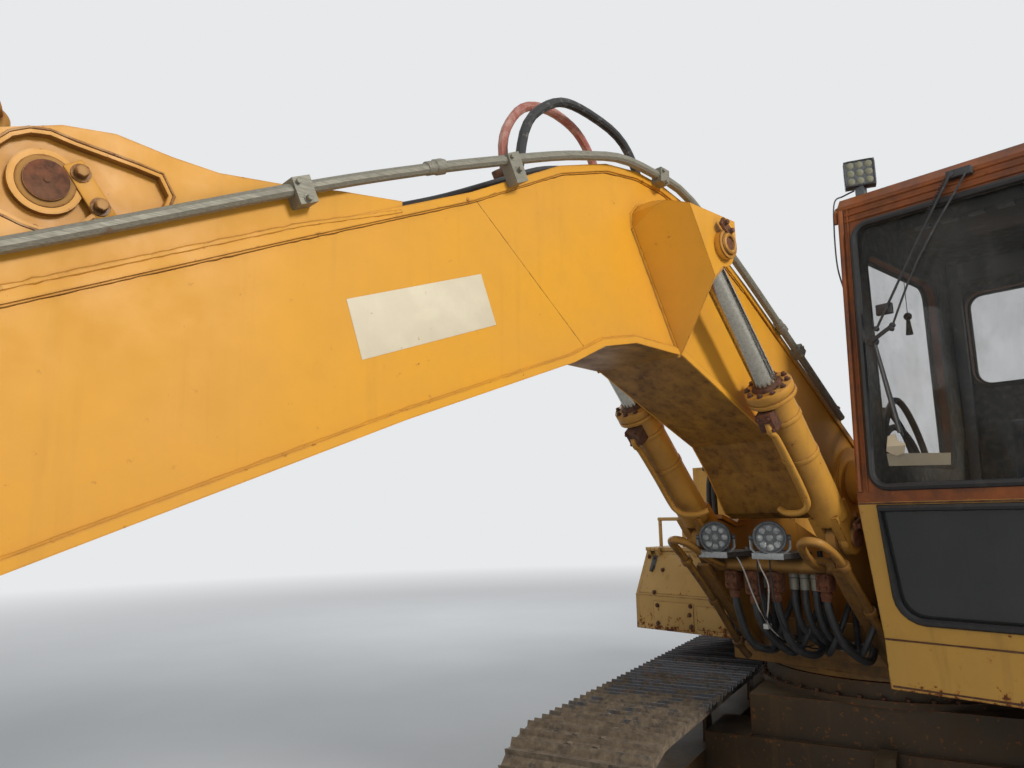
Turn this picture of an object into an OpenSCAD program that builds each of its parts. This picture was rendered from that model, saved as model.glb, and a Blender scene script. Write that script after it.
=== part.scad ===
// Crawler excavator, about 20 tonnes, on two tracks, with a one-piece boom, stick and bucket.
// All sizes are in millimetres. +X is forward, +Y is the machine's left, +Z is up.
// The origin lies on the ground under the slewing axis.

/* [Undercarriage] */
// Distance between the two tracks' centre lines
track_gauge = 1960; // [1900:10:2200]
// Width of the track shoes
shoe_w = 600; // [450:10:600]
// Distance between the idler's and the sprocket's centres
wheel_base = 3200; // [3000:20:3400]
// Height of the idler's and the sprocket's centres
wheel_z = 430; // [425:1:440]
// Number of track shoes in one loop
shoe_n = 46; // [44:1:48]
// Height of the bars on the shoes
bar_h = 20; // [14:1:20]
// Number of bottom rollers on one side
roller_n = 7; // [5:1:7]
// Distance between bottom rollers
roller_pitch = 370; // [340:5:380]
// Outer diameter of the slewing ring
ring_d = 1250; // [1150:10:1300]
// Angle of the tracks to the upper structure, as it is parked
park_a = 18; // [0:1:20]

/* [Upper structure] */
// Height of the deck's underside
deck_z = 960; // [955:1:970]
// Thickness of the deck
deck_t = 70; // [60:1:75]
// Left edge of the deck, from the centre
left_y = 1380; // [1340:5:1400]
// Right edge of the deck, from the centre
right_y = 1250; // [1230:5:1270]
// Radius of the counterweight's back
tail_r = 2700; // [2650:10:2800]
// Height of the engine housing's top
hood_z = 1960; // [1900:10:2000]

/* [Cab] */
// Right side of the cab, from the centre
cab_y = 460; // [455:1:480]
// Width of the cab
cab_w = 920; // [880:10:930]
// Height of the cab's roof above the ground
roof_z = 2990; // [2940:10:3040]
// Thickness of the cab's walls
cab_t = 50; // [40:1:60]
// Rear face of the cab
cab_rear_x = 70; // [60:1:90]

/* [Boom] */
// Width of the boom
boom_w = 400; // [360:5:400]
// Forward position of the boom's foot pin
foot_x = 700; // [690:1:710]
// Height of the boom's foot pin
foot_z = 1830; // [1825:1:1840]
// Forward position of the boom's tip pin
tip_x = 5550; // [5500:10:5600]
// Height of the boom's tip pin
tip_z = 1270; // [1260:1:1290]
// Distance of each boom cylinder from the centre
cyl_y = 320; // [318:1:325]
// Outer diameter of the boom cylinders
cyl_d = 140; // [120:1:145]
// Diameter of the boom cylinders' rods
rod_d = 86; // [70:1:90]

/* [Stick and bucket] */
// Distance from the tip pin to the bucket pin
stick_len = 2200; // [2150:10:2250]
// Width of the stick
stick_w = 300; // [280:2:300]
// Width of the bucket
bucket_w = 1100; // [900:10:1150]
// Number of teeth
tooth_n = 5; // [3:1:5]

/* [Hidden] */
$fn = 64;
// Small gap between seated pieces, and running clearance of a pin's radius
seat = 0.2;
run = 0.05;
half_base = wheel_base / 2;
link_r = 316;
plate_r = 388;
shoe_r = 410;
deck_top = deck_z + deck_t;
hood_rear = 450 - tail_r;
hood_front = -800;
lift_x = 200 - tail_r;
// Angle of the stick below level at rest, and of the bucket's tip line
stick_a = -22;
tip_a = -19;
cyl_foot = [1150, 1600];
rod_pin = [2014, 2620];
cyl_a = atan2(rod_pin[1] - cyl_foot[1], rod_pin[0] - cyl_foot[0]);
cyl_len = norm(rod_pin - cyl_foot);
gland_s = 753;
stick_foot = [4000, 2355];
lug = [-390, 482];
stick_end = [tip_x + stick_len * cos(stick_a), tip_z + stick_len * sin(stick_a)];
lug_world = [tip_x + lug[0] * cos(stick_a) - lug[1] * sin(stick_a),
             tip_z + lug[0] * sin(stick_a) + lug[1] * cos(stick_a)];
scyl_a = atan2(lug_world[1] - stick_foot[1], lug_world[0] - stick_foot[0]);
scyl_len = norm(lug_world - stick_foot);
bcyl_foot = [300, 410];
rocker_pin = [stick_len - 400, 30];
rocker_top = [stick_len - 650.5, 553];
ear = [stick_len - 117, 382.5];
bcyl_a = atan2(rocker_top[1] - bcyl_foot[1], rocker_top[0] - bcyl_foot[0]);
bcyl_len = norm(rocker_top - bcyl_foot);
yellow = [0.88, 0.62, 0.20];
dark = [0.16, 0.16, 0.16];
steel = [0.42, 0.40, 0.37];
rust = [0.45, 0.27, 0.16];
// Side profile of the boom at rest: top edge from the foot to the tip, then the lower edge back
boom_top = [[590, 1900], [600, 1975], [704, 2052], [1523, 2612], [1939, 2866], [2060, 2896], [2210, 2908],
            [2378, 2887], [2604, 2811], [2972, 2618], [3487, 2388], [4056, 2129], [5300, 1600], [5550, 1400]];
boom_low = [[5550, 1140], [5420, 1120], [4900, 1290], [4018, 1631], [3186, 1955], [2565, 2176],
            [2416, 2247], [2256, 2279], [1995, 2268], [1716, 2138], [1393, 1993], [1290, 1874], [1200, 1745],
            [1168, 1700], [1110, 1676], [720, 1672], [590, 1720]];

// A plate in the X-Z plane from a list of points, between two Y values
module side_plate(points, y0, y1) {
    translate([0, y1, 0])
        rotate([90, 0, 0])
            linear_extrude(height = y1 - y0)
                polygon(points);
}

// The same plate on both sides of the centre
module plate_pair(points, y0, y1) {
    side_plate(points, y0, y1);
    side_plate(points, -y1, -y0);
}

// A round pin or boss along Y at [x, z]
module cross_pin(at, r, y0, y1) {
    translate([at[0], y0, at[1]])
        rotate([-90, 0, 0])
            cylinder(h = y1 - y0, r = r);
}

module pin_pair(at, r, y0, y1) {
    cross_pin(at, r, y0, y1);
    cross_pin(at, r, -y1, -y0);
}

module box(low, high) {
    translate(low)
        cube(high - low);
}

// Moves a child drawn in a tool's own frame to its place: turn about Y, then to [x, z]
module placed(at, angle) {
    translate([at[0], 0, at[1]])
        rotate([0, -angle, 0])
            children();
}

// Turns the undercarriage to where it is parked
module parked() {
    rotate([0, 0, park_a])
        children();
}

// An outline drawn inwards by d at every edge; its points run clockwise
function edge_normal(a, b) = [b[1] - a[1], a[0] - b[0]] / norm(b - a);
function inset(points, d) = let (n = len(points)) [for (i = [0 : n - 1])
    let (m = edge_normal(points[(i + n - 1) % n], points[i]) + edge_normal(points[i], points[(i + 1) % n]))
    points[i] + m * (2 * d / (m * m))];

// A round pipe or hose along points, as rings of n corners that lean halfway between its stretches
function way(points, i) = let (a = points[max(i - 1, 0)], b = points[min(i + 1, len(points) - 1)]) (b - a) / norm(b - a);
function ring_at(points, i, r, n) = let (t = way(points, i), u = cross([0, 1, 0.001], t) / norm(cross([0, 1, 0.001], t)), v = cross(t, u))
    [for (k = [0 : n - 1]) points[i] + r * cos(k * 360 / n) * u + r * sin(k * 360 / n) * v];
module pipe(points, r, n = 12) {
    m = len(points);
    polyhedron(points = [for (i = [0 : m - 1]) each ring_at(points, i, r, n)],
        faces = concat([[for (k = [0 : n - 1]) k]], [[for (k = [n - 1 : -1 : 0]) (m - 1) * n + k]],
            [for (i = [0 : m - 2]) for (k = [0 : n - 1]) [i * n + k, (i + 1) * n + k, (i + 1) * n + (k + 1) % n, i * n + (k + 1) % n]]));
}

// Rounds a route: each inner corner becomes a short curve that leaves and meets the stretches
function rounded(points, part, steps) = [for (i = [0 : len(points) - 1])
    each (i == 0 || i == len(points) - 1) ? [points[i]]
        : let (a = points[i] + (points[i - 1] - points[i]) * part, b = points[i] + (points[i + 1] - points[i]) * part)
            [for (k = [0 : steps]) let (t = k / steps) a * (1 - t) * (1 - t) + points[i] * 2 * t * (1 - t) + b * t * t]];

// A hinge in two halves, its axis along Z: outer knuckles with the pin, and the middle knuckle
module hinge_fixed(r) {
    cylinder(h = 90, r = r / 2, center = true);
    for (side = [-1, 1])
        translate([0, 0, side * 31])
            cylinder(h = 28, r = r, center = true);
}

module hinge_moving(r) {
    difference() {
        cylinder(h = 32, r = r, center = true);
        cylinder(h = 40, r = r / 2 + run, center = true);
    }
}

// Place and direction along the track's loop, for a distance from the top's front end
function loop_len(r) = 2 * wheel_base + 2 * PI * r;
function loop_at(s, r) =
    let (arc = PI * r)
    s < wheel_base ? [half_base - s, wheel_z + r, 180]
    : s < wheel_base + arc ? let (a = 90 + (s - wheel_base) / r * 180 / PI)
        [-half_base + r * cos(a), wheel_z + r * sin(a), a + 90]
    : s < 2 * wheel_base + arc ? [-half_base + (s - wheel_base - arc), wheel_z - r, 0]
    : let (a = -90 + (s - 2 * wheel_base - arc) / r * 180 / PI)
        [half_base + r * cos(a), wheel_z + r * sin(a), a + 90];
// One shoe's outline: distance along the loop as a share of the pitch, and height over the plate
shoe_steps = [[-0.47, -2], [-0.44, 0], [-0.36, 20], [-0.30, 0], [-0.05, 0], [0, 20], [0.05, 0], [0.30, 0], [0.36, 20], [0.44, 0]];
function shoe_point(i, step) =
    let (at = loop_at((i + 0.5) / shoe_n * loop_len(shoe_r), shoe_r),
         pitch = loop_len(shoe_r) / shoe_n,
         h = step[1] > 0 ? bar_h : step[1] * 5)
    [at[0] + step[0] * pitch * cos(at[2]) + h * sin(at[2]),
     at[1] + step[0] * pitch * sin(at[2]) - h * cos(at[2])];
track_outline = [for (i = [0 : shoe_n - 1]) for (step = shoe_steps) shoe_point(i, step)];
function ring_outline(r, n) = [for (i = [0 : n - 1]) let (at = loop_at((i + 0.5) / n * loop_len(r), r)) [at[0], at[1]]];

module track(y) {
    difference() {
        side_plate(track_outline, y - shoe_w / 2, y + shoe_w / 2);
        side_plate(ring_outline(plate_r, shoe_n * 2), y - shoe_w, y + shoe_w);
    }
    difference() {
        side_plate(ring_outline(plate_r + 12, shoe_n * 2), y - 85, y + 85);
        hull_free_ring(y);
    }
}

// The space inside the chain of links: two round ends and a straight part
module hull_free_ring(y) {
    for (x = [-half_base, half_base])
        cross_pin([x, wheel_z], link_r, y - 200, y + 200);
    box([-half_base, y - 200, wheel_z - link_r], [half_base, y + 200, wheel_z + link_r]);
}

module track_left() {
    color(steel)
        parked()
            track(track_gauge / 2);
}

module track_right() {
    color(steel)
        parked()
            track(-track_gauge / 2);
}

frame_end = half_base - 350;
frame_side = [[-frame_end, 320], [frame_end - 70, 320], [frame_end - 10, 380], [frame_end - 10, 480],
              [frame_end - 70, 560], [-frame_end + 70, 560], [-frame_end, 520]];
skirt_side = [[-frame_end - 30, 150], [frame_end + 30, 150], [frame_end + 30, 321], [-frame_end - 30, 321]];
idler_arm = [[frame_end - 70, 370], [half_base + 90, 370], [half_base + 90, 490], [frame_end - 70, 490]];
carrier_x = [-480, 480];

module track_frame(y) {
    side_plate(frame_side, y - 160, y + 160);
    for (side = [[-130, -112], [112, 130]]) {
        side_plate(skirt_side, y + side[0], y + side[1]);
        side_plate(idler_arm, y + side[0], y + side[1]);
        for (x = carrier_x)
            side_plate([[x - 60, 559], [x + 60, 559], [x + 45, 710], [x - 45, 710]], y + side[0], y + side[1]);
    }
    in = y > 0 ? -1 : 1;
    side_plate([[-half_base - 200, 260], [-half_base, 200], [-frame_end + 10, 320], [-frame_end + 10, 540],
                [-half_base, 660], [-half_base - 200, 600]],
        y + in * 145 - 15, y + in * 145 + 15);
}

module track_frames() {
    color(yellow)
        parked()
            for (y = [-track_gauge / 2, track_gauge / 2])
                track_frame(y);
}

module sprockets() {
    n = 21;
    color(rust)
        parked()
        for (y = [-track_gauge / 2, track_gauge / 2])
            translate([-half_base, y + 30, wheel_z])
                rotate([90, 0, 0])
                    linear_extrude(height = 60)
                        polygon([for (i = [0 : n - 1]) for (t = [[-0.30, 282], [-0.16, link_r - 3 * seat], [0.16, link_r - 3 * seat], [0.30, 282]])
                            [t[1] * cos((i + t[0]) * 360 / n), t[1] * sin((i + t[0]) * 360 / n)]]);
}

module idlers() {
    color(rust)
        parked()
        for (y = [-track_gauge / 2, track_gauge / 2]) {
            cross_pin([half_base, wheel_z], link_r - 3 * seat, y - 80, y + 80);
            cross_pin([half_base, wheel_z], 45, y - 112 + seat, y + 112 - seat);
        }
}

roller_z = wheel_z - link_r + 85 + seat;

module track_rollers() {
    color(rust)
        parked()
            for (y = [-track_gauge / 2, track_gauge / 2]) {
                for (i = [0 : roller_n - 1]) {
                    at = [(i - (roller_n - 1) / 2) * roller_pitch, roller_z];
                    cross_pin(at, 85, y - 95, y + 95);
                    cross_pin(at, 105, y - 104, y - 90);
                    cross_pin(at, 105, y + 90, y + 104);
                    cross_pin(at, 32, y - 112 + seat, y + 112 - seat);
                }
                for (x = carrier_x) {
                    at = [x, wheel_z + link_r - 50 - seat];
                    cross_pin(at, 50, y - 95, y + 95);
                    cross_pin(at, 30, y - 112 + seat, y + 112 - seat);
                }
            }
}

module final_drives() {
    color(yellow)
        parked()
        for (side = [-1, 1]) {
            y = side * track_gauge / 2;
            near = y - side * 30 - side * seat;
            far = y + side * 30 + side * seat;
            cross_pin([-half_base, wheel_z], 200, min(near, y - side * (130 - seat)), max(near, y - side * (130 - seat)));
            cross_pin([-half_base, wheel_z], 200, min(far, y + side * 120), max(far, y + side * 120));
            cross_pin([-half_base, wheel_z], 150, min(y + side * 119, y + side * 190), max(y + side * 119, y + side * 190));
        }
}

module carbody() {
    in_y = track_gauge / 2 - 160 - seat;
    color(yellow)
        parked() {
        box([-620, 380 - track_gauge / 2, 450], [620, track_gauge / 2 - 380, 830]);
        for (x = [-470, 470])
            box([x - 190, -in_y, 400], [x + 190, in_y, 640]);
        translate([0, 0, 800])
            cylinder(h = deck_z - 30 - 800, d = ring_d);
        translate([0, 0, 829])
            cylinder(h = 30, d = ring_d + 60);
    }
}

module tow_eyes() {
    color(yellow)
        parked()
        for (side = [-1, 1])
            difference() {
                union() {
                    side_plate([[side * (660 + seat), 505], [side * 780, 505], [side * 780, 655], [side * (660 + seat), 655]], -40, 40);
                    cross_pin([side * 780, 580], 75, -40, 40);
                }
                cross_pin([side * 780, 580], 30, -60, 60);
            }
}

cheek_side = [[-700, deck_top - 1], [730, deck_top - 1], [859, 1145], [1090, 1372], [1205, 1520], [1226, 1600],
              [1150, 1676], [1060, 1672], [932, 1640], [850, 1700], [838, 1840], [700, 1966], [562, 1840],
              [480, 1700], [-700, 1250]];
cheek_front = [[728, deck_top - 1], [746, deck_top - 1], [868, 1132], [1100, 1360], [1192, 1465], [1180, 1478],
               [1088, 1376], [856, 1150]];
cheek_back = [[1048, 1676], [1044, 1696], [926, 1657], [842, 1662], [842, 1640], [932, 1636]];
deck_shape = [[hood_rear, -right_y], [-125, -right_y], [-125, -545], [620, -545], [620, 450], [790, 450], [790, left_y - 40],
              [cab_rear_x - 20, left_y - 40], [cab_rear_x - 20, right_y], [hood_rear, right_y]];

module upper_frame() {
    color(yellow) {
        translate([0, 0, deck_z])
            linear_extrude(height = deck_t)
                polygon(deck_shape);
        translate([0, 0, deck_z - 24])
            cylinder(h = 25, d = ring_d);
        translate([0, 0, deck_z - 30 + 0.3])
            cylinder(h = 10, d = ring_d - 60);
        plate_pair(cheek_side, cyl_y - 20, cyl_y + 20);
        plate_pair(cheek_front, cyl_y - 30, cyl_y + 30);
        plate_pair(cheek_back, cyl_y - 30, cyl_y + 30);
        pin_pair(cyl_foot, 90, cyl_y - 20, cyl_y + 20);
        pin_pair([foot_x, foot_z], 148, cyl_y - 20, cyl_y + 20);
        pin_pair([foot_x, foot_z], 100, cyl_y + 19, cyl_y + 36);
        box([500, -cyl_y, deck_top - 1], [745, cyl_y, deck_top + 40]);
        box([735, -300, deck_top + 35], [752, cyl_y - 10, 1200]);
        box([-480, -cyl_y, deck_top - 1], [-440, cyl_y, 1290]);
        cross_pin([1120, 1478], 36, -cyl_y, cyl_y);
        box([1040, -260, 1442], [1110, 260, 1452]);
    }
    color(steel) {
        cross_pin([foot_x, foot_z], 50, -cyl_y - 50, cyl_y + 50);
        pin_pair(cyl_foot, 40, cyl_y - 66, cyl_y + 72);
    }
}

module counterweight() {
    color(yellow)
        intersection() {
            translate([0, 0, deck_z - 20])
                cylinder(h = 960, r = tail_r, $fn = 96);
            box([-tail_r - 50, -right_y, deck_z - 20], [hood_rear - seat, right_y, 1900]);
        }
}

module lifting_eyes() {
    color(yellow)
        for (y = [-700, 700])
            difference() {
                union() {
                    side_plate([[lift_x - 70, 1900 + seat], [lift_x + 70, 1900 + seat],
                        [lift_x + 52, 1970], [lift_x - 52, 1970]], y - 20, y + 20);
                    cross_pin([lift_x, 1968], 55, y - 20, y + 20);
                }
                cross_pin([lift_x, 1968], 28, y - 40, y + 40);
            }
}

side_hinge_z = [1250, 1740];
hood_hinge_y = [-400, 460];
module engine_housing() {
    color(yellow)
        difference() {
            box([hood_rear, -right_y, deck_top + seat], [hood_front, right_y, hood_z]);
            box([hood_rear + 40, -right_y + 40, deck_top - 1], [hood_front - 40, right_y - 40, hood_z - 40]);
            box([hood_rear + 90, -560, hood_z - 50], [hood_front - 90, 620, hood_z + 10]);
            for (side = [-1, 1])
                box([hood_rear + 120, side * right_y - 60, 1130], [hood_front - 147, side * right_y + 60, 1860]);
        }
    color(dark) {
        for (side = [-1, 1])
            for (z = side_hinge_z)
                translate([hood_rear + 126, side * (right_y + 18), z]) {
                    hinge_fixed(16);
                    for (dz = [-31, 31])
                        translate([-50, side < 0 ? 0 : -19, dz - 14])
                            cube([50, 19, 28]);
                }
        for (y = hood_hinge_y)
            translate([hood_front - 42, y, hood_z + 18])
                rotate([90, 0, 0]) {
                    hinge_fixed(16);
                    for (dz = [-31, 31])
                        translate([-16, -19, dz - 14])
                            cube([32, 19, 28]);
                }
    }
}

module engine_hood() {
    color(yellow) {
        difference() {
            box([hood_rear + 60, -590, hood_z + seat], [hood_front - 60, 650, hood_z + 60]);
            box([hood_rear + 120, -540, hood_z - 10], [hood_front - 120, 600, hood_z + 48]);
        }
        for (y = hood_hinge_y)
            translate([hood_front - 42, y, hood_z + 18])
                rotate([90, 0, 0]) {
                    hinge_moving(16);
                    translate([-30, -8, -16])
                        cube([20, 16, 32]);
                }
    }
}

module engine_block() {
    color(dark)
        box([hood_rear + 250, -420, deck_top + seat], [hood_front - 350, 420, 1780]);
}

module service_door_left() {
    color(yellow)
        box([hood_rear + 126, right_y - 36, 1136], [hood_front - 156, right_y, 1854]);
    color(dark)
        for (z = side_hinge_z)
            translate([hood_rear + 126, (right_y + 18), z]) {
                hinge_moving(16);
                translate([12, -19, -16])
                    cube([50, 17, 32]);
            }
}

module service_door_right() {
    color(yellow)
        box([hood_rear + 126, -right_y, 1136], [hood_front - 156, -right_y + 36, 1854]);
    color(dark)
        for (z = side_hinge_z)
            translate([hood_rear + 126, -(right_y + 18), z]) {
                hinge_moving(16);
                translate([12, 2, -16])
                    cube([50, 17, 32]);
            }
}

module side_cabinet() {
    color(yellow)
        box([hood_front + seat, 500, deck_top + seat], [cab_rear_x - 40, right_y, 1760]);
}

module tank_right() {
    color(yellow)
        box([hood_front + seat, -right_y, deck_top + seat], [-120, -545, 2000]);
}

tool_side = [[-120 + seat, 1036], [540, 1036], [540, 1227], [412, 1480], [-120 + seat, 1480]];

module tool_box() {
    color(yellow)
        difference() {
            side_plate(tool_side, -right_y, -545 - seat);
            side_plate([[-90, deck_top + 30], [510, deck_top + 30], [510, 1222], [392, 1500], [-90, 1500]], -right_y + 30, -575);
        }
    color(dark)
        for (y = lid_hinge_y)
            translate([438, y, 1490])
                rotate([90, 0, 0]) {
                    hinge_fixed(12);
                    for (dz = [-31, 31])
                        translate([0, 0, dz - 14])
                            linear_extrude(height = 28)
                                polygon([[-32, -17], [-14, -54], [12, -10], [0, 4], [-9, -11]]);
                }
}
lid_hinge_y = [-1180, -850];

module tool_box_lid() {
    color(yellow)
        box([-110, -right_y - 4, 1480 + seat], [420, -541, 1500]);
    color(dark)
        for (y = lid_hinge_y)
            translate([438, y, 1490])
                rotate([90, 0, 0]) {
                    hinge_moving(12);
                    translate([-30, 0, -16])
                        cube([22, 9, 32]);
                }
    color(dark) {
        for (y = [-1225, -1050])
            translate([300, y, 1499])
                cylinder(h = 170, r = 11);
        translate([300, -1236, 1668])
            rotate([-90, 0, 0])
                cylinder(h = 197, r = 11);
    }
}

cab_front = [[1140, deck_top + seat], [1152, 1216], [1276, 1726], [1210, roof_z - 40], [1180, roof_z]];
cab_side = concat([[cab_rear_x, deck_top + seat]], cab_front, [[cab_rear_x + 60, roof_z], [cab_rear_x, roof_z - 60]]);
cab_inner = [[cab_rear_x + cab_t, deck_top + 60], [1090, deck_top + 60], [1102, 1216], [1226, 1726], [1162, roof_z - 60],
             [cab_rear_x + cab_t, roof_z - 60]];
cab_l = cab_y + cab_w;

function round_box(x0, z0, x1, z1, r) =
    [for (c = [[x1 - r, z1 - r, 0], [x0 + r, z1 - r, 90], [x0 + r, z0 + r, 180], [x1 - r, z0 + r, 270]])
        for (a = [0 : 22.5 : 90]) [c[0] + r * cos(c[2] + a), c[1] + r * sin(c[2] + a)]];

// A plate in the Y-Z plane from a list of points, between two X values
module front_plate(points, x0, x1) {
    translate([x0, 0, 0])
        rotate([90, 0, 90])
            linear_extrude(height = x1 - x0)
                polygon(points);
}

door_hinge_z = [1330, 2660];
door_x = cab_rear_x + 90;
door_hole = round_box(door_x, 1130, 983, 2860, 80);
// The lower front window has square corners at its top
function low_window(e) = concat([[cab_l - 60 - e, 1712 - e], [cab_y + 76 + e, 1712 - e]],
    [for (c = [[cab_y + 166 + e, 180], [cab_l - 150 - e, 270]]) for (a = [0 : 22.5 : 90])
        [c[0] + 90 * cos(c[1] + a), 1382 + e + 90 * sin(c[1] + a)]]);

module cab_shell() {
    color(yellow)
        difference() {
            side_plate(cab_side, cab_y, cab_l);
            side_plate(cab_inner, cab_y + cab_t, cab_l - cab_t);
            side_plate(door_hole, cab_l - 80, cab_l + 10);
            side_plate(round_box(cab_rear_x + 250, 1900, 1080, 2770, 70), cab_y - 10, cab_y + 80);
            front_plate(round_box(cab_y + 60, 1790, cab_l - 60, 2850, 60), 1120, 1300);
            front_plate(low_window(0), 1000, 1300);
            front_plate(round_box(cab_y + 110, 2290, cab_l - 110, 2750, 70), cab_rear_x - 10, cab_rear_x + 80);
        }
    color(dark)
        for (z = door_hinge_z)
            translate([door_x + 6, cab_l + 18, z]) {
                hinge_fixed(16);
                for (side = [-31, 31])
                    translate([-60, -19, side - 14])
                        cube([60, 19, 28]);
            }
}

module cab_glass() {
    color([0.5, 0.6, 0.6, 0.4]) {
        side_plate(round_box(cab_rear_x + 230, 1880, 1100, 2790, 70), cab_y + cab_t + seat, cab_y + cab_t + seat + 6);
        front_plate(round_box(cab_y + 90, 2270, cab_l - 90, 2770, 80), cab_rear_x + cab_t + seat, cab_rear_x + cab_t + seat + 6);
        intersection() {
            front_plate(round_box(cab_y + 60 + seat, 1790 + seat, cab_l - 60 - seat, 2850 - seat, 60), 1120, 1300);
            side_plate([[1262, 1726], [1256, 1726], [1190, roof_z - 40], [1196, roof_z - 40]], cab_y, cab_l);
        }
        intersection() {
            front_plate(low_window(seat), 1000, 1300);
            side_plate([[1138, 1216], [1132, 1216], [1256, 1726], [1262, 1726]], cab_y, cab_l);
        }
    }
}

module cab_door() {
    color(yellow)
        difference() {
            side_plate(round_box(door_x + 6, 1136, 974, 2854, 76), cab_l - 40, cab_l);
            side_plate(round_box(door_x + 106, 1900, 880, 2740, 60), cab_l - 60, cab_l + 10);
        }
    color(dark)
        for (z = door_hinge_z)
            translate([door_x + 6, cab_l + 18, z]) {
                hinge_moving(16);
                translate([12, -19, -16])
                    cube([60, 17, 32]);
            }
}

module door_glass() {
    color([0.5, 0.6, 0.6, 0.4])
        side_plate(round_box(door_x + 86, 1880, 900, 2760, 60), cab_l - 46 - seat, cab_l - 40 - seat);
}

seat_x = cab_rear_x + cab_t + 80;

module operator_seat() {
    y = cab_y + cab_w / 2;
    color(dark) {
        box([seat_x + 60, y - 180, deck_top + 60 + seat], [seat_x + 420, y + 180, 1330]);
        box([seat_x, y - 250, 1329], [seat_x + 500, y + 250, 1460]);
        side_plate([[seat_x, 1459], [seat_x + 110, 1459], [seat_x + 30, 2150], [seat_x - 60, 2150]], y - 230, y + 230);
    }
}

module control_console() {
    y = cab_y + cab_w / 2;
    color(dark)
        for (side = [-1, 1]) {
            box([seat_x + 40, y + side * 320 - 50, deck_top + 60 + seat], [seat_x + 540, y + side * 320 + 50, 1600]);
            translate([seat_x + 500, y + side * 320, 1599])
                cylinder(h = 190, r = 14);
            translate([900, y + side * 110, deck_top + 60 + seat])
                cylinder(h = 480, r = 12);
        }
}

lamp_y = [-178, 84];

module work_lamps() {
    color(dark) {
        box([1128, 522, roof_z + seat], [1164, 556, roof_z + 50]);
        translate([1146, 539, roof_z + 45])
            rotate([0, 0, 25])
                box([-22, -59, 0], [22, 59, 113]);
        for (y = lamp_y)
            translate([1288, y, 1600])
                rotate([0, 90, 30])
                    cylinder(h = 46, r = 68, center = true);
    }
    color([0.7, 0.7, 0.7])
        difference() {
            union() {
                for (y = lamp_y)
                    box([1085, y - 70, 1514 + seat], [1320, y + 75, 1535]);
            }
            cross_pin([1120, 1478], 36 + seat, -cyl_y, cyl_y);
        }
}

module exhaust() {
    color(rust)
        translate([-1500, -900, hood_z + seat])
            cylinder(h = 500, r = 55);
}

module handrails() {
    r = 14;
    color(dark) {
        for (y = [-1200, -800])
            translate([-300, y, 2000 + seat])
                cylinder(h = 140, r = r);
        translate([-300, -1200, 2140])
            rotate([-90, 0, 0])
                cylinder(h = 400, r = r);
    }
}

// Hoses that loop from the front plate up to the cross bar, and lamp wires: sides they start and end at
hose_loop = [[80, 60], [125, 110], [172, 160], [218, 206], [-120, -90]];

module foot_hoses() {
    color(dark) {
        for (h = hose_loop) {
            translate([752 + seat, h[0], 1110])
                rotate([0, 90, 0])
                    cylinder(h = 40, r = 20, $fn = 24);
            translate([1070, h[1], 1390])
                cylinder(h = 52 - seat, r = 20, $fn = 24);
            pipe(rounded([[770, h[0], 1110], [850, h[0], 1112], [960, h[0] + 4, 1140], [1040, h[1] + 4, 1210],
                [1075, h[1], 1300], [1070, h[1], 1410]], 0.45, 3), 15, 10);
        }
        for (y = [20, -40])
            pipe(rounded([[1190, y, 1514 - seat], [1190, y, 1430], [1200, y + 12, 1350], [1160, y + 8, 1240],
                [1080, y + 14, 1170], [960, y + 8, 1120], [850, y, 1090], [752 + seat, y, 1090]], 0.45, 3), 3.5, 6);
    }
}

fork_x = tip_x - 460;
web_in = 10;
boom_edge = 24;
boom_side = concat(boom_top, boom_low);
// The boom cylinders' brackets: a bent cap plate from the web's line low..high out to the plate that holds the pin
lug_low = [2007, 2267];
lug_high = [2241, 2694];
lug_a = atan2(lug_high[1] - lug_low[1], lug_high[0] - lug_low[0]);
lug_lean = 15.5;
lug_y = [cyl_y + 66, cyl_y + 82];
lug_side = [lug_low, lug_high, [2240, 2745], [2205, 2782], [2150, 2800], [1925, 2800], [1925, 2500]];
lug_room = [[1700, 2000], [1865, 2040], [1995, 2274], [2226, 2698], [2222, 2738], [2196, 2770], [2146, 2786], [1700, 2786]];
// The stick cylinder's bracket, and the hollow round its pin
bracket_top = [[3200, 2530], [3379, 2508], [3500, 2486], [3678, 2466], [3776, 2472], [3887, 2487], [3981, 2474], [4079, 2436],
               [4170, 2370], [4240, 2280]];
bracket_eye = concat([for (a = [210 : 20 : 290]) stick_foot + 92 * [cos(a), sin(a)]], [[4080, 2285]],
    [for (a = [330 : 20 : 450]) stick_foot + 92 * [cos(a), sin(a)]], [[3960, 2440], [3850, 2428], [3800, 2420], [3780, 2385], [3790, 2350], [3830, 2322]]);

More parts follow.
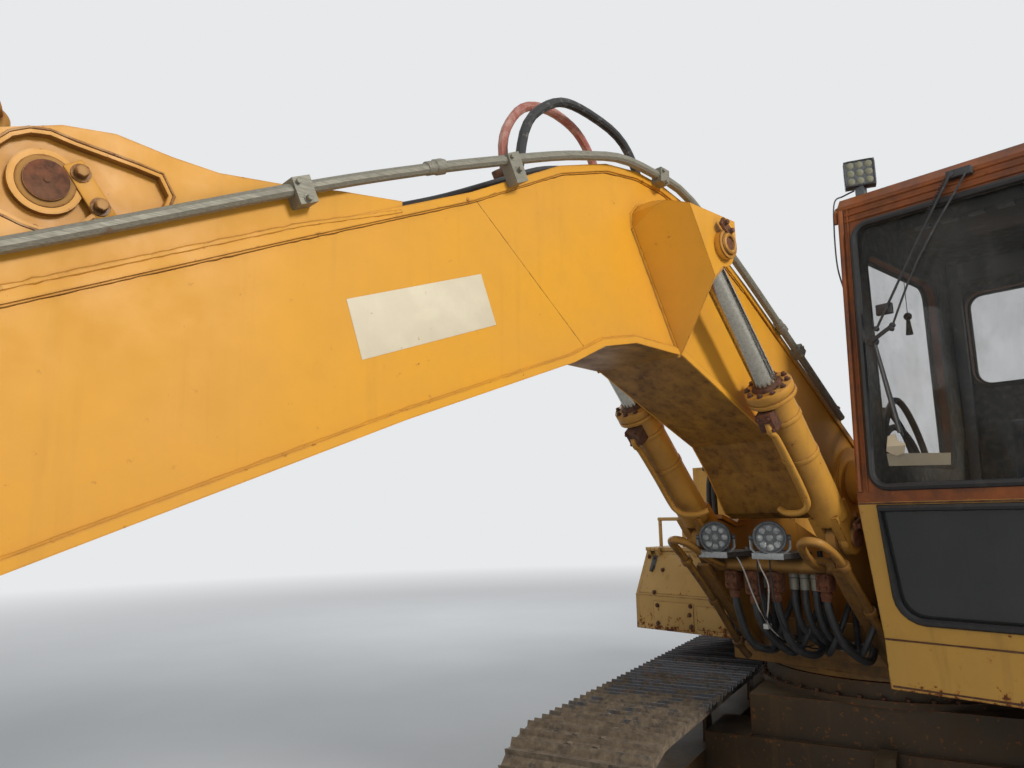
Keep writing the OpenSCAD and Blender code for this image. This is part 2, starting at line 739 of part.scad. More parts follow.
module boom_lug() {
    difference() {
        side_plate(lug_side, boom_w / 2 - web_in - 1, lug_y[1]);
        difference() {
            side_plate(lug_room, boom_w / 2 - web_in - 2, lug_y[0]);
            placed(lug_low, lug_a)
                translate([0, boom_w / 2, 14])
                    rotate([lug_lean, 0, 0])
                        translate([-800, -400, -600])
                            cube([2000, 900, 600]);
            translate([2000, boom_w / 2, 2786])
                rotate([-19, 0, 0])
                    translate([-600, -400, 0])
                        cube([1200, 900, 600]);
        }
        placed(lug_low, lug_a)
            translate([0, boom_w / 2, 0])
                rotate([lug_lean, 0, 0])
                    translate([-800, -400, -600])
                        cube([2000, 900, 600]);
        translate([2000, boom_w / 2, 2800])
            rotate([-19, 0, 0])
                translate([-600, -400, 0])
                    cube([1200, 900, 600]);
        placed(rod_pin, cyl_a)
            translate([-274, boom_w / 2, 0])
                rotate([0, 0, -47.5])
                    translate([-1000, -1000, -1000])
                        cube([1000, 2000, 2000]);
    }
    cross_pin(rod_pin, 74, lug_y[0], lug_y[1]);
    cross_pin(rod_pin, 60, cyl_y + 61 + seat, lug_y[0] + 1);
    cross_pin(rod_pin, 50, lug_y[1] - 1, lug_y[1] + 22);
    cross_pin(rod_pin, 72, boom_w / 2 - web_in - 1, cyl_y - 61 - seat);
}

module boom() {
    hw = boom_w / 2;
    color(yellow)
        difference() {
            union() {
                difference() {
                    side_plate(boom_side, -hw, hw);
                    for (side = [-1, 1])
                        side_plate(inset(boom_side, boom_edge), side * (hw + 1) - (web_in + 1) / 2 - side * (web_in + 1) / 2,
                            side * (hw + 1) + (web_in + 1) / 2 - side * (web_in + 1) / 2);
                }
                cross_pin([foot_x, foot_z], 160, -hw, hw);
                cross_pin([foot_x, foot_z], 100, -cyl_y + 20 + seat, cyl_y - 20 - seat);
                cross_pin([tip_x, tip_z], 130, -hw, hw);
                boom_lug();
                mirror([0, 1, 0])
                    boom_lug();
                for (side = [-1, 1])
                    difference() {
                        side_plate(concat([[4330, 1996], [3200, 2496]], bracket_top), side * 163 - 33, side * 163 + 33);
                        side_plate(bracket_eye, side * 188 - 12, side * 188 + 12);
                    }
                side_plate(concat([for (i = [6 : -1 : 0]) bracket_top[i] - [0, 16]], [for (i = [0 : 6]) bracket_top[i]]), -131, 131);
                pin_pair(stick_foot, 90, 70 + seat, 136);
                pin_pair(stick_foot, 64, 150, 192);
            }
            cross_pin([foot_x, foot_z], 50 + run, -320, 320);
            box([fork_x, -stick_w / 2 - 5, tip_z - 370], [tip_x + 350, stick_w / 2 + 5, tip_z + 830]);
        }
    color(steel) {
        cross_pin([tip_x, tip_z], 45, -hw - 30, hw + 30);
        cross_pin(stick_foot, 40, -200, 200);
    }
}

// Routes of the pipes along the boom: forward position and height
pipe_side = [[820, 2120], [1543, 2640], [1956, 2905], [2314, 2925], [2618, 2835], [3047, 2668], [3338, 2545], [3610, 2421], [4064, 2203], [5000, 1790]];
// Clamps: forward position, height, lean, reach downwards, face that they sit on
pipe_clamps = [[1180, 2382, 35, 24, boom_w / 2], [2100, 2914, 4, 30, boom_w / 2], [2835, 2742, -25, 66, boom_w / 2],
               [3500, 2471, -24, 40, 196], [4600, 1966, -24, 84, boom_w / 2]];
pipe_y = boom_w / 2 + 20;

module boom_pipes() {
    color(steel)
        for (side = [-1, 1]) {
            pipe([for (at = rounded(pipe_side, 0.3, 3)) [at[0], side * pipe_y, at[1]]], 16, 10);
            for (at = pipe_clamps)
                translate([at[0], side * pipe_y, at[1]])
                    rotate([0, -at[2], 0])
                        translate([-24, side < 0 ? -22 : at[4] + seat - pipe_y, -at[3]])
                            cube([48, pipe_y + 22 - at[4] - seat, at[3] + 24]);
        }
}

// Hoses that arch over the top of the boom: each stands in two fittings on the boom's top plate
hose_ends = [[2640, 1990, 40], [2620, 2150, -40]];
hose_arch = [[[2600, 3040], [2450, 3165], [2330, 3185], [2100, 3150], [2000, 3030]],
             [[2640, 3000], [2540, 3150], [2400, 3185], [2250, 3150], [2160, 3040]]];

// Stands a child on the boom's top plate at forward position x
module on_top(x, y) {
    translate([x, y, lookup(x, boom_top)])
        rotate([0, -atan2(lookup(x + 1, boom_top) - lookup(x - 1, boom_top), 2), 0])
            children();
}

module boom_hoses() {
    color(dark)
        for (i = [0, 1]) {
            y = hose_ends[i][2];
            for (end = [0, 1])
                on_top(hose_ends[i][end], y)
                    translate([0, 0, seat])
                        cylinder(h = 70, r = 24, $fn = 24);
            pipe(rounded(concat([[hose_ends[i][0], y, lookup(hose_ends[i][0], boom_top) + 30]],
                [for (at = hose_arch[i]) [at[0], y, at[1]]],
                [[hose_ends[i][1], y, lookup(hose_ends[i][1], boom_top) + 30]]), 0.45, 4), 17, 10);
        }
}

// A cylinder's tube with its foot eye at the origin, along X
module tube(len, d, eye_r, eye_w, pin_r, bottom, bore) {
    difference() {
        union() {
            translate([40, 0, 0])
                rotate([0, 90, 0])
                    cylinder(h = len - 40, d = d);
            translate([len - 60, 0, 0])
                rotate([0, 90, 0])
                    cylinder(h = 60, d = d + 40);
            rotate([-90, 0, 0])
                translate([0, 0, -eye_w / 2])
                    cylinder(h = eye_w, r = eye_r);
        }
        rotate([-90, 0, 0])
            translate([0, 0, -eye_w])
                cylinder(h = 2 * eye_w, r = pin_r + run);
        translate([bottom, 0, 0])
            rotate([0, 90, 0])
                cylinder(h = len - bottom - 80, d = d - 30);
        translate([bottom, 0, 0])
            rotate([0, 90, 0])
                cylinder(h = len, d = bore);
    }
}

// A rod along X with its eye at the far end, and its own short pin in the eye
module rod(from, to, d, eye_r, eye_w) {
    translate([from, 0, 0])
        rotate([0, 90, 0])
            cylinder(h = to - from - eye_r * 0.8, d = d);
    translate([to, 0, 0])
        rotate([-90, 0, 0])
            translate([0, 0, -eye_w / 2])
                cylinder(h = eye_w, r = eye_r);
}

module boom_cylinder_barrels() {
    color(yellow)
        for (y = [-cyl_y, cyl_y])
            translate([0, y, 0])
                placed(cyl_foot, cyl_a)
                    difference() {
                        union() {
                            translate([115, 0, 0])
                                rotate([0, 90, 0])
                                    cylinder(h = gland_s - 115, d = cyl_d);
                            translate([gland_s - 45, 0, 0])
                                rotate([0, 90, 0])
                                    cylinder(h = 45, d = cyl_d + 36);
                            plate_pair([[0, -62], [150, -62], [150, 62], [0, 62]], 20 + seat, 58);
                            pin_pair([0, 0], 70, 20 + seat, 58);
                        }
                        cross_pin([0, 0], 40 + run, -80, 80);
                        translate([150, 0, 0])
                            rotate([0, 90, 0])
                                cylinder(h = gland_s - 230, d = cyl_d - 30);
                        translate([150, 0, 0])
                            rotate([0, 90, 0])
                                cylinder(h = gland_s, d = rod_d + 2 * run);
                    }
}

module boom_cylinder_rods() {
    color(steel)
        for (y = [-cyl_y, cyl_y])
            translate([0, y, 0])
                placed(cyl_foot, cyl_a)
                    rod(295, cyl_len, rod_d, 62, 122);
}

module stick_cylinder_barrel() {
    color(yellow)
        placed(stick_foot, scyl_a)
            tube(1250, 140, 75, 140, 40, 150, 90 + 2 * run);
}

module stick_cylinder_rod() {
    color(steel)
        placed(stick_foot, scyl_a)
            rod(190, scyl_len, 90, 75, 131.6);
}

stick_side = [[-150, -60], [-60, -190], [300, -240], [1250, -170], [stick_len - 100, -85], [stick_len - 10, -80],
              [stick_len - 10, 80], [stick_len - 100, 85], [1650, 120], [900, 230], [260, 330], [-120, 430], [-230, 300]];

module stick() {
    hw = stick_w / 2;
    color(yellow)
        placed([tip_x, tip_z], stick_a)
            difference() {
                union() {
                    side_plate(stick_side, -hw, hw);
                    cross_pin([0, 0], 130, -hw, hw);
                    cross_pin([stick_len, 0], 88, -hw, hw);
                    plate_pair([[-120, 200], [60, 380], [-300, 560], [-380, 575], [-450, 540], [-475, 470], [-440, 400]], 66, 106);
                    plate_pair([[140, 300], [560, 260], [400, 470], [300, 510], [215, 470]], 66, 106);
                }
                cross_pin([0, 0], 45 + run, -300, 300);
                cross_pin([stick_len, 0], 40 + run, -300, 300);
                box([-420, -66, 235], [-160, 66, 470]);
            }
    color(steel)
        placed([tip_x, tip_z], stick_a) {
            cross_pin(bcyl_foot, 36, -116, 116);
            cross_pin(rocker_pin, 36, -196, 196);
        }
}

module bucket_cylinder_barrel() {
    color(yellow)
        placed([tip_x, tip_z], stick_a)
            placed(bcyl_foot, bcyl_a)
                tube(stick_len - 1130, 120, 68, 120, 36, 110, 80 + 2 * run);
}

module bucket_cylinder_rod() {
    color(steel)
        placed([tip_x, tip_z], stick_a)
            placed(bcyl_foot, bcyl_a)
                rod(182, bcyl_len, 80, 62, 139.6);
}

module rocker_levers() {
    color(yellow)
        placed([tip_x, tip_z], stick_a)
            for (side = [-1, 1])
                difference() {
                    union() {
                        side_plate([[rocker_pin[0] - 70, 30], [rocker_pin[0] + 70, 30], [rocker_top[0] + 65, 560], [rocker_top[0] - 65, 530]],
                            min(side * 155, side * 185), max(side * 155, side * 185));
                        cross_pin(rocker_pin, 75, min(side * 155, side * 185), max(side * 155, side * 185));
                        cross_pin(rocker_top, 70, min(side * 155, side * 185), max(side * 155, side * 185));
                        cross_pin(rocker_top, 36, min(side * 70, side * 195), max(side * 70, side * 195));
                    }
                    cross_pin(rocker_pin, 36 + run, -300, 300);
                }
}

module bucket_link() {
    d = ear - rocker_top;
    a = atan2(d[1], d[0]);
    color(yellow)
        placed([tip_x, tip_z], stick_a)
            placed(rocker_top, a)
                difference() {
                    union() {
                        side_plate([[0, -55], [norm(d), -55], [norm(d), 55], [0, 55]], -148, 148);
                        cross_pin([0, 0], 68, -148, 148);
                        cross_pin([norm(d), 0], 68, -150, 150);
                    }
                    cross_pin([0, 0], 36 + run, -300, 300);
                    box([-200, -70, -200], [330, 70, 200]);
                }
}

bk_c = [560, 60];
bk_r = 400;
function bk_back(r) = [for (a = [170 : -10 : 60]) [bk_c[0] + r * cos(a), bk_c[1] + r * sin(a)]];
bk_out = concat([[172, 0]], bk_back(bk_r), [[787, 389], [1240, 76], [1240, 66]]);
bk_in = concat([[196, -240], [196, 0]], bk_back(bk_r - 22), [[775, 371], [1200, 77], [1260, -240]]);
ear_side = [[-60, -70], [170, -60], [230, 200], [330, 350], [20, 450], [-120, 460], [-150, 370]];

module bucket() {
    hw = bucket_w / 2;
    color(yellow)
        placed(stick_end, tip_a)
            difference() {
                union() {
                    difference() {
                        side_plate(bk_out, -hw, hw);
                        side_plate(bk_in, -hw + 22, hw - 22);
                    }
                    difference() {
                        plate_pair(ear_side, 160, 200);
                        side_plate(bk_in, -hw + 22, hw - 22);
                    }
                    pin_pair([0, 0], 80, 156, 210);
                    for (i = [0 : tooth_n - 1])
                        tooth_frame(i)
                            box([-150, -40, -26], [10, 40, 26]);
                }
            }
    color(steel)
        placed(stick_end, tip_a)
            cross_pin([0, 0], 40, -220, 220);
}

// Frame of one tooth: at the lip, X along the floor plate
module tooth_frame(i) {
    y = (i - (tooth_n - 1) / 2) * (bucket_w - 110) / (tooth_n - 1);
    translate([1240, y, 70])
        rotate([0, 34.6, 0])
            children();
}

module bucket_teeth() {
    color(steel)
        placed(stick_end, tip_a)
            for (i = [0 : tooth_n - 1])
                tooth_frame(i)
                    side_plate([[10 + seat, -30], [110, -8], [110, 8], [10 + seat, 30]], -38, 38);
}

carbody();
track_frames();
track_left();
track_right();
sprockets();
idlers();
track_rollers();
final_drives();
tow_eyes();
upper_frame();
counterweight();
lifting_eyes();
engine_housing();
engine_block();
engine_hood();
service_door_left();
service_door_right();
tank_right();
side_cabinet();
tool_box();
tool_box_lid();
cab_shell();
cab_glass();
cab_door();
door_glass();
operator_seat();
control_console();
work_lamps();
exhaust();
handrails();
foot_hoses();
boom();
boom_pipes();
boom_hoses();
boom_cylinder_barrels();
boom_cylinder_rods();
stick_cylinder_barrel();
stick_cylinder_rod();
stick();
bucket_cylinder_barrel();
bucket_cylinder_rod();
rocker_levers();
bucket_link();
bucket();
bucket_teeth();
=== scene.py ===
# Looks for the crawler excavator: paint, rust, welds, hydraulics, cab fittings, track hardware.
# Every place is in metres in the machine's own frame: +X forward, +Y left, +Z up.
import math

import bmesh
import bpy
from mathutils import Matrix, Vector, noise


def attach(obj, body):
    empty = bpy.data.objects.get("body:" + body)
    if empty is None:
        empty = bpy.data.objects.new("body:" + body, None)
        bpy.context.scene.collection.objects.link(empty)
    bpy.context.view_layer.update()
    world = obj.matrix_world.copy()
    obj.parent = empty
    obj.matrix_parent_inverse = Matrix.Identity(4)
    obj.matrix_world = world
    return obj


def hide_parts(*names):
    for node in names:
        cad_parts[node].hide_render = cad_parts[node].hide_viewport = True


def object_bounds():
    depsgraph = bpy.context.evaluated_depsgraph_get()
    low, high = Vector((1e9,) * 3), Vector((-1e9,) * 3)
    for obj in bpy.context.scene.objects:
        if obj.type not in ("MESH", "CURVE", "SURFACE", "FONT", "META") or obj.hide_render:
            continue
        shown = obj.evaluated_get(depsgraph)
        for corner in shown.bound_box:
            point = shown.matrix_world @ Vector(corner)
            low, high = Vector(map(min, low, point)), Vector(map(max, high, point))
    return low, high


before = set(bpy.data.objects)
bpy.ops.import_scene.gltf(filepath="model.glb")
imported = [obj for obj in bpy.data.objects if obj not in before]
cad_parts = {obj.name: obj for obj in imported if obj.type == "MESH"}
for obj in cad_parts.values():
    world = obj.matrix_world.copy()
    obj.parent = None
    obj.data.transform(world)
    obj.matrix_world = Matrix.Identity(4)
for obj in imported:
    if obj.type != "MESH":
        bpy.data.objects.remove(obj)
cad_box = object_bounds()


# Finishes

class Finish:
    """A material built from short calls. Each call returns the socket that carries its result."""

    def __init__(self, name, **settings):
        self.material = bpy.data.materials.new(name)
        self.material.use_nodes = True
        self.nodes = self.material.node_tree.nodes
        self.links = self.material.node_tree.links
        self.nodes.clear()
        self.output = self.nodes.new("ShaderNodeOutputMaterial")
        self.shader = self.nodes.new("ShaderNodeBsdfPrincipled")
        self.links.new(self.shader.outputs[0], self.output.inputs["Surface"])
        self.place = self.nodes.new("ShaderNodeTexCoord").outputs["Object"]
        split = self.nodes.new("ShaderNodeSeparateXYZ")
        self.links.new(self.place, split.inputs[0])
        self.x, self.y, self.z = split.outputs
        self.relief = None
        for key, value in settings.items():
            self.set(key, value)

    def set(self, key, value):
        socket = self.shader.inputs[key.replace("_", " ")]
        if isinstance(value, bpy.types.NodeSocket):
            self.links.new(value, socket)
        elif isinstance(value, tuple):
            socket.default_value = (*value, 1.0)
        else:
            socket.default_value = value

    def feed(self, socket, value):
        if isinstance(value, bpy.types.NodeSocket):
            self.links.new(value, socket)
        elif isinstance(value, tuple) and len(socket.default_value) == 4:
            socket.default_value = (*value, 1.0)
        else:
            socket.default_value = value

    def noise(self, scale, detail=4.0, rough=0.55, stretch=(1, 1, 1), shift=(0, 0, 0)):
        node = self.nodes.new("ShaderNodeTexNoise")
        node.inputs["Scale"].default_value = scale
        node.inputs["Detail"].default_value = detail
        node.inputs["Roughness"].default_value = rough
        mapping = self.nodes.new("ShaderNodeMapping")
        mapping.inputs["Scale"].default_value = stretch
        mapping.inputs["Location"].default_value = shift
        self.links.new(self.place, mapping.inputs["Vector"])
        self.links.new(mapping.outputs[0], node.inputs["Vector"])
        return node.outputs["Fac"]

    def cells(self, scale, stretch=(1, 1, 1)):
        node = self.nodes.new("ShaderNodeTexVoronoi")
        node.inputs["Scale"].default_value = scale
        mapping = self.nodes.new("ShaderNodeMapping")
        mapping.inputs["Scale"].default_value = stretch
        self.links.new(self.place, mapping.inputs["Vector"])
        self.links.new(mapping.outputs[0], node.inputs["Vector"])
        return node.outputs["Distance"]

    def span(self, value, low, high, start=0.0, end=1.0):
        node = self.nodes.new("ShaderNodeMapRange")
        self.feed(node.inputs["Value"], value)
        node.inputs["From Min"].default_value = low
        node.inputs["From Max"].default_value = high
        node.inputs["To Min"].default_value = start
        node.inputs["To Max"].default_value = end
        return node.outputs["Result"]

    def calc(self, kind, a, b=0.0):
        node = self.nodes.new("ShaderNodeMath")
        node.operation = kind
        self.feed(node.inputs[0], a)
        self.feed(node.inputs[1], b)
        return node.outputs[0]

    def mix(self, share, a, b):
        node = self.nodes.new("ShaderNodeMix")
        node.data_type = "RGBA"
        self.feed(node.inputs[0], share)
        self.feed(node.inputs[6], a)
        self.feed(node.inputs[7], b)
        return node.outputs[2]

    def blend(self, share, a, b):
        node = self.nodes.new("ShaderNodeMix")
        self.feed(node.inputs[0], share)
        self.feed(node.inputs[2], a)
        self.feed(node.inputs[3], b)
        return node.outputs[0]

    def edges(self, width):
        """1 along outer and inner corners of the metal, 0 on open faces."""
        bevel = self.nodes.new("ShaderNodeBevel")
        bevel.samples = 4
        bevel.inputs["Radius"].default_value = width
        shape = self.nodes.new("ShaderNodeNewGeometry")
        dot = self.nodes.new("ShaderNodeVectorMath")
        dot.operation = "DOT_PRODUCT"
        self.links.new(bevel.outputs[0], dot.inputs[0])
        self.links.new(shape.outputs["Normal"], dot.inputs[1])
        return self.span(dot.outputs["Value"], 0.995, 0.86)

    def facing_up(self):
        shape = self.nodes.new("ShaderNodeNewGeometry")
        split = self.nodes.new("ShaderNodeSeparateXYZ")
        self.links.new(shape.outputs["Normal"], split.inputs[0])
        return split.outputs[2]

    def bump(self, height, strength, depth):
        node = self.nodes.new("ShaderNodeBump")
        node.inputs["Strength"].default_value = strength
        node.inputs["Distance"].default_value = depth
        self.feed(node.inputs["Height"], height)
        if self.relief is not None:
            self.links.new(self.relief, node.inputs["Normal"])
        self.relief = node.outputs[0]
        self.links.new(self.relief, self.shader.inputs["Normal"])


RUST_DARK = (0.075, 0.026, 0.012)
RUST_RED = (0.21, 0.062, 0.02)
RUST_STAIN = (0.46, 0.17, 0.03)
DUST = (0.36, 0.28, 0.18)
# Near-black tone of the painted shade in corners.
CORNER_SHADE_TONE = (0.035, 0.028, 0.022)


def weathered_paint(name, fresh, faded, chips=0.5, edge_wear=0.5, corner_shade_and_dust=0.3, streaks=0.3,
                    mud_below=None, upper=None, rust_below=None, belly_dirt_and_shade=0.0, lining=None,
                    worn_ahead=None, painted_shade_low=None, belly_half=9.0):
    """Old machine paint: sun-faded tone, chips down to rust with a stained rim, runs, dust on top faces,
    and painted shade in corners and, where asked, on faces that look down and low down.

    upper: (height, colour a, colour b) for a band of other paint above a height.
    rust_below: (height, reach) for a rusty lower border. mud_below: (height, reach) for dried mud.
    belly_dirt_and_shade: how far faces that look down turn brown, partly dirt and partly painted shade, out
    to belly_half from the middle plane.
    painted_shade_low: (height, reach, share) for painted shade, a dark tone low down. worn_ahead: (from,
    to) along X, where
    digging scrapes the paint off. lining: a function that masks inner walls."""
    f = Finish(name)
    broad = f.noise(0.9, 3.0, 0.6, shift=(3.1, 0.4, 1.7))
    small = f.noise(9.0, 5.0, 0.6)
    colour = f.mix(f.span(broad, 0.38, 0.64), fresh, faded)
    if upper:
        height, first, second = upper
        worn = f.mix(f.span(f.noise(5.0, 6.0, 0.66), 0.40, 0.62), first, second)
        border = f.calc("ADD", f.z, f.span(small, 0.0, 1.0, -0.004, 0.004))
        colour = f.mix(f.span(border, height - 0.001, height + 0.001), colour, worn)
    colour = f.mix(f.span(small, 0.35, 0.75, 0.0, 0.10), colour, (0.25, 0.16, 0.06))
    runs = f.noise(1.0, 5.0, 0.62, stretch=(16, 16, 0.9))
    colour = f.mix(f.span(runs, 0.56, 0.78, 0.0, streaks), colour, (0.20, 0.10, 0.035))
    edge = f.edges(0.009)
    scuff = f.noise(31.0, 7.0, 0.68)
    bare = f.calc("ADD", scuff, f.calc("MULTIPLY", edge, 0.17 * edge_wear))
    limit = 0.735 - 0.09 * chips
    if rust_below:
        height, reach = rust_below
        low = f.span(f.z, height + reach, height)
        bare = f.calc("ADD", bare, f.calc("MULTIPLY", low, 0.16))
    if worn_ahead:
        bare = f.calc("ADD", bare, f.span(f.x, worn_ahead[0], worn_ahead[1], 0.0, 0.26))
    stain = f.span(bare, limit - 0.055, limit)
    colour = f.mix(f.calc("MULTIPLY", stain, 0.75), colour, RUST_STAIN)
    deep = f.span(bare, limit, limit + 0.012)
    rust = f.mix(f.span(f.noise(120.0, 3.0), 0.35, 0.65), RUST_DARK, RUST_RED)
    colour = f.mix(deep, colour, rust)
    # Faces that look down turn brown: dirt, together with painted shade on the undersides.
    if belly_dirt_and_shade:
        under = f.calc("MULTIPLY", f.span(f.facing_up(), -0.2, -0.6), f.span(small, 0.2, 0.6, 0.6, 1.0))
        under = f.calc("MULTIPLY", under, f.span(f.calc("ABSOLUTE", f.y), belly_half + 0.006, belly_half))
        brown = f.mix(f.span(scuff, 0.48, 0.64), (0.185, 0.088, 0.022), RUST_DARK)
        colour = f.mix(f.calc("MULTIPLY", under, belly_dirt_and_shade), colour, brown)
    # Painted shade: a dark tone in patches, growing darker towards the bottom.
    if painted_shade_low:
        height, reach, share = painted_shade_low
        patches = f.span(f.noise(5.0, 6.0, 0.66), 0.25, 0.6, 0.35, 1.0)
        low = f.calc("MULTIPLY", f.span(f.z, height + reach, height), patches)
        colour = f.mix(f.calc("MULTIPLY", low, share), colour, (0.055, 0.036, 0.02))
    rubbed = f.calc("ADD", edge, f.span(small, 0.3, 0.7, -0.45, 0.25))
    colour = f.mix(f.span(rubbed, 0.45, 0.95, 0.0, 0.75 * edge_wear), colour, RUST_RED)
    # Painted shade: the colour darkens towards a near-black where the ambient-occlusion node finds corners
    # and crevices. The same amount also sets the dust on top faces.
    shade = f.nodes.new("ShaderNodeAmbientOcclusion")
    shade.samples = 4
    shade.inputs["Distance"].default_value = 0.07
    corner = f.span(shade.outputs["AO"], 0.85, 0.35, 0.0, corner_shade_and_dust)
    colour = f.mix(corner, colour, CORNER_SHADE_TONE)
    top = f.calc("MULTIPLY", f.span(f.facing_up(), 0.55, 0.95), f.span(small, 0.35, 0.7, 0.1, 0.55))
    colour = f.mix(f.calc("MULTIPLY", top, corner_shade_and_dust), colour, DUST)
    rough = f.blend(deep, f.span(small, 0.3, 0.7, 0.36, 0.56), 0.85)
    if lining:
        trim = f.mix(f.span(scuff, 0.45, 0.7), (0.075, 0.072, 0.066), (0.17, 0.155, 0.13))
        colour = f.mix(lining(f), colour, trim)
    if mud_below:
        height, reach = mud_below
        clods = f.span(f.noise(11.0, 7.0, 0.7), 0.36, 0.56)
        mud = f.calc("MULTIPLY", f.span(f.z, height + reach, height), clods)
        colour = f.mix(mud, colour, f.mix(small, (0.30, 0.22, 0.135), (0.17, 0.12, 0.07)))
        rough = f.blend(mud, rough, 0.92)
        f.bump(mud, 0.5, 0.004)
    f.set("Base Color", colour)
    f.set("Specular IOR Level", 0.28)
    f.set("Roughness", rough)
    f.bump(f.noise(240.0, 2.0), 0.10, 0.0006)
    f.bump(f.noise(1.9, 2.0), 0.32, 0.012)
    f.bump(deep, -0.35, 0.0008)
    return f.material


def cab_lining(f):
    """1 on the walls inside the cab, 0 on its outer skin."""
    rules = [("GREATER_THAN", f.y, 0.505), ("LESS_THAN", f.y, 1.345), ("GREATER_THAN", f.x, 0.115),
             ("GREATER_THAN", f.z, 1.05), ("LESS_THAN", f.z, 2.935),
             ("LESS_THAN", f.calc("ADD", f.x, f.calc("MULTIPLY", f.z, 0.0539)), 1.340),
             ("LESS_THAN", f.calc("SUBTRACT", f.x, f.calc("MULTIPLY", f.z, 0.2431)), 0.828)]
    share = 1.0
    for kind, value, limit in rules:
        share = f.calc("MULTIPLY", f.calc(kind, value, limit), share)
    return share


def bare_steel(name, light, dark, rust=0.3, gloss=0.35, metal=0.85, grain=(1, 1, 1)):
    """Unpainted metal with a fine grain and spots of rust."""
    f = Finish(name, Metallic=metal)
    wear = f.noise(14.0, 6.0, 0.65)
    fine = f.noise(90.0, 4.0, 0.6, stretch=grain)
    colour = f.mix(f.span(fine, 0.3, 0.7), light, dark)
    spots = f.span(wear, 0.70 - 0.28 * rust, 0.78 - 0.20 * rust)
    colour = f.mix(spots, colour, f.mix(fine, RUST_DARK, RUST_RED))
    f.set("Base Color", colour)
    f.set("Metallic", f.blend(spots, metal, 0.0))
    f.set("Roughness", f.blend(spots, f.span(fine, 0.2, 0.8, gloss, gloss + 0.16), 0.85))
    f.bump(fine, 0.15, 0.0006)
    f.bump(spots, 0.3, 0.0008)
    return f.material


def rust_metal(name, a=RUST_RED, b=RUST_DARK, dust=0.2):
    """Metal rusted all over, with a little dust on it."""
    f = Finish(name)
    rough = f.noise(46.0, 8.0, 0.7)
    colour = f.mix(f.span(rough, 0.34, 0.62), a, b)
    colour = f.mix(f.span(f.noise(7.0, 4.0), 0.45, 0.75, 0.0, dust), colour, DUST)
    f.set("Base Color", colour)
    f.set("Roughness", f.span(rough, 0.3, 0.7, 0.72, 0.94))
    f.bump(rough, 0.5, 0.0016)
    return f.material


def rubber(name, tone=(0.022, 0.022, 0.023), worn=(0.10, 0.095, 0.09), share=0.25, gloss=0.48):
    """Rubber or plastic with scuffs in a paler tone."""
    f = Finish(name)
    scuff = f.noise(24.0, 6.0, 0.68)
    colour = f.mix(f.span(scuff, 0.52, 0.74, 0.0, share * 2.4), tone, worn)
    f.set("Base Color", colour)
    f.set("Roughness", f.span(scuff, 0.3, 0.7, gloss, gloss + 0.25))
    f.bump(f.noise(300.0, 2.0), 0.16, 0.0005)
    return f.material


def dusty_glass(name, tint, clear=0.16, dust=0.35, dirt=(0.42, 0.40, 0.36), pane_shade_below=None):
    """Thin glass under a film of dust and specks; below pane_shade_below it is almost opaque and dark,
    painted shade for the dim space behind it.
    """
    f = Finish(name, Roughness=0.06, IOR=1.5)
    film = f.noise(3.2, 6.0, 0.66, stretch=(1, 1, 0.55))
    specks = f.span(f.noise(70.0, 4.0, 0.7), 0.62, 0.74)
    low = f.span(film, 0.42, 0.78, 0.0, dust)
    cover = f.calc("ADD", low, f.calc("MULTIPLY", specks, dust * 0.5))
    # Painted shade: below that height the pane turns nearly opaque, keeps its dark tint and carries less
    # dust.
    if pane_shade_below:
        base = f.span(f.z, pane_shade_below, pane_shade_below - 0.001)
        cover = f.calc("MULTIPLY", cover, f.span(base, 0.0, 1.0, 1.0, 0.35))
        clear = f.blend(base, clear, 0.86)
    share = f.span(cover, 0.0, 0.3, 0.0, 0.8)
    if pane_shade_below:
        share = f.calc("MULTIPLY", share, f.span(base, 0.0, 1.0, 1.0, 0.22))
    f.set("Base Color", f.mix(share, tint, dirt))
    f.set("Alpha", f.calc("ADD", cover, clear))
    f.set("Roughness", f.span(cover, 0.0, 0.5, 0.04, 0.35))
    return f.material


def track_steel(name):
    """Steel shoes: blue-grey worn plates, polished bars, tan mud dried on towards the front."""
    f = Finish(name)
    fine = f.noise(60.0, 6.0, 0.65)
    colour = f.mix(f.span(fine, 0.3, 0.7), (0.062, 0.065, 0.072), (0.026, 0.025, 0.026))
    colour = f.mix(f.span(f.noise(17.0, 6.0, 0.7), 0.52, 0.70, 0.0, 0.7), colour, (0.13, 0.055, 0.028))
    bright = f.calc("MULTIPLY", f.edges(0.005), f.span(fine, 0.3, 0.6, 0.2, 0.75))
    colour = f.mix(bright, colour, (0.30, 0.30, 0.31))
    mud = f.noise(7.5, 8.0, 0.66)
    ahead = f.span(f.x, 0.2, 1.9, -0.10, 0.17)
    cake = f.span(f.calc("ADD", mud, f.calc("ADD", ahead, f.span(f.z, 0.1, 0.9, 0.05, 0.0))), 0.50, 0.60)
    cake = f.calc("MULTIPLY", cake, f.span(bright, 0.0, 1.0, 1.0, 0.35))
    tan = f.mix(f.span(f.noise(28.0, 6.0, 0.7), 0.35, 0.65), (0.26, 0.20, 0.135), (0.12, 0.088, 0.058))
    colour = f.mix(cake, colour, tan)
    f.set("Base Color", colour)
    f.set("Metallic", f.blend(cake, 0.6, 0.0))
    f.set("Roughness", f.blend(cake, 0.46, 0.94))
    f.bump(f.noise(130.0, 5.0, 0.7), 0.35, 0.003)
    f.bump(cake, 0.6, 0.006)
    return f.material


def woven_cloth(name, a, b):
    """Ribbed seat fabric, faded and dusty in places."""
    f = Finish(name, Roughness=0.92, Sheen_Weight=0.3)
    rib = f.nodes.new("ShaderNodeTexWave")
    rib.inputs["Scale"].default_value = 90.0
    rib.inputs["Distortion"].default_value = 0.4
    f.links.new(f.place, rib.inputs["Vector"])
    fade = f.noise(8.0, 5.0, 0.6)
    colour = f.mix(rib.outputs["Fac"], a, b)
    f.set("Base Color", f.mix(f.span(fade, 0.45, 0.75, 0.0, 0.4), colour, DUST))
    f.bump(rib.outputs["Fac"], 0.4, 0.0012)
    return f.material


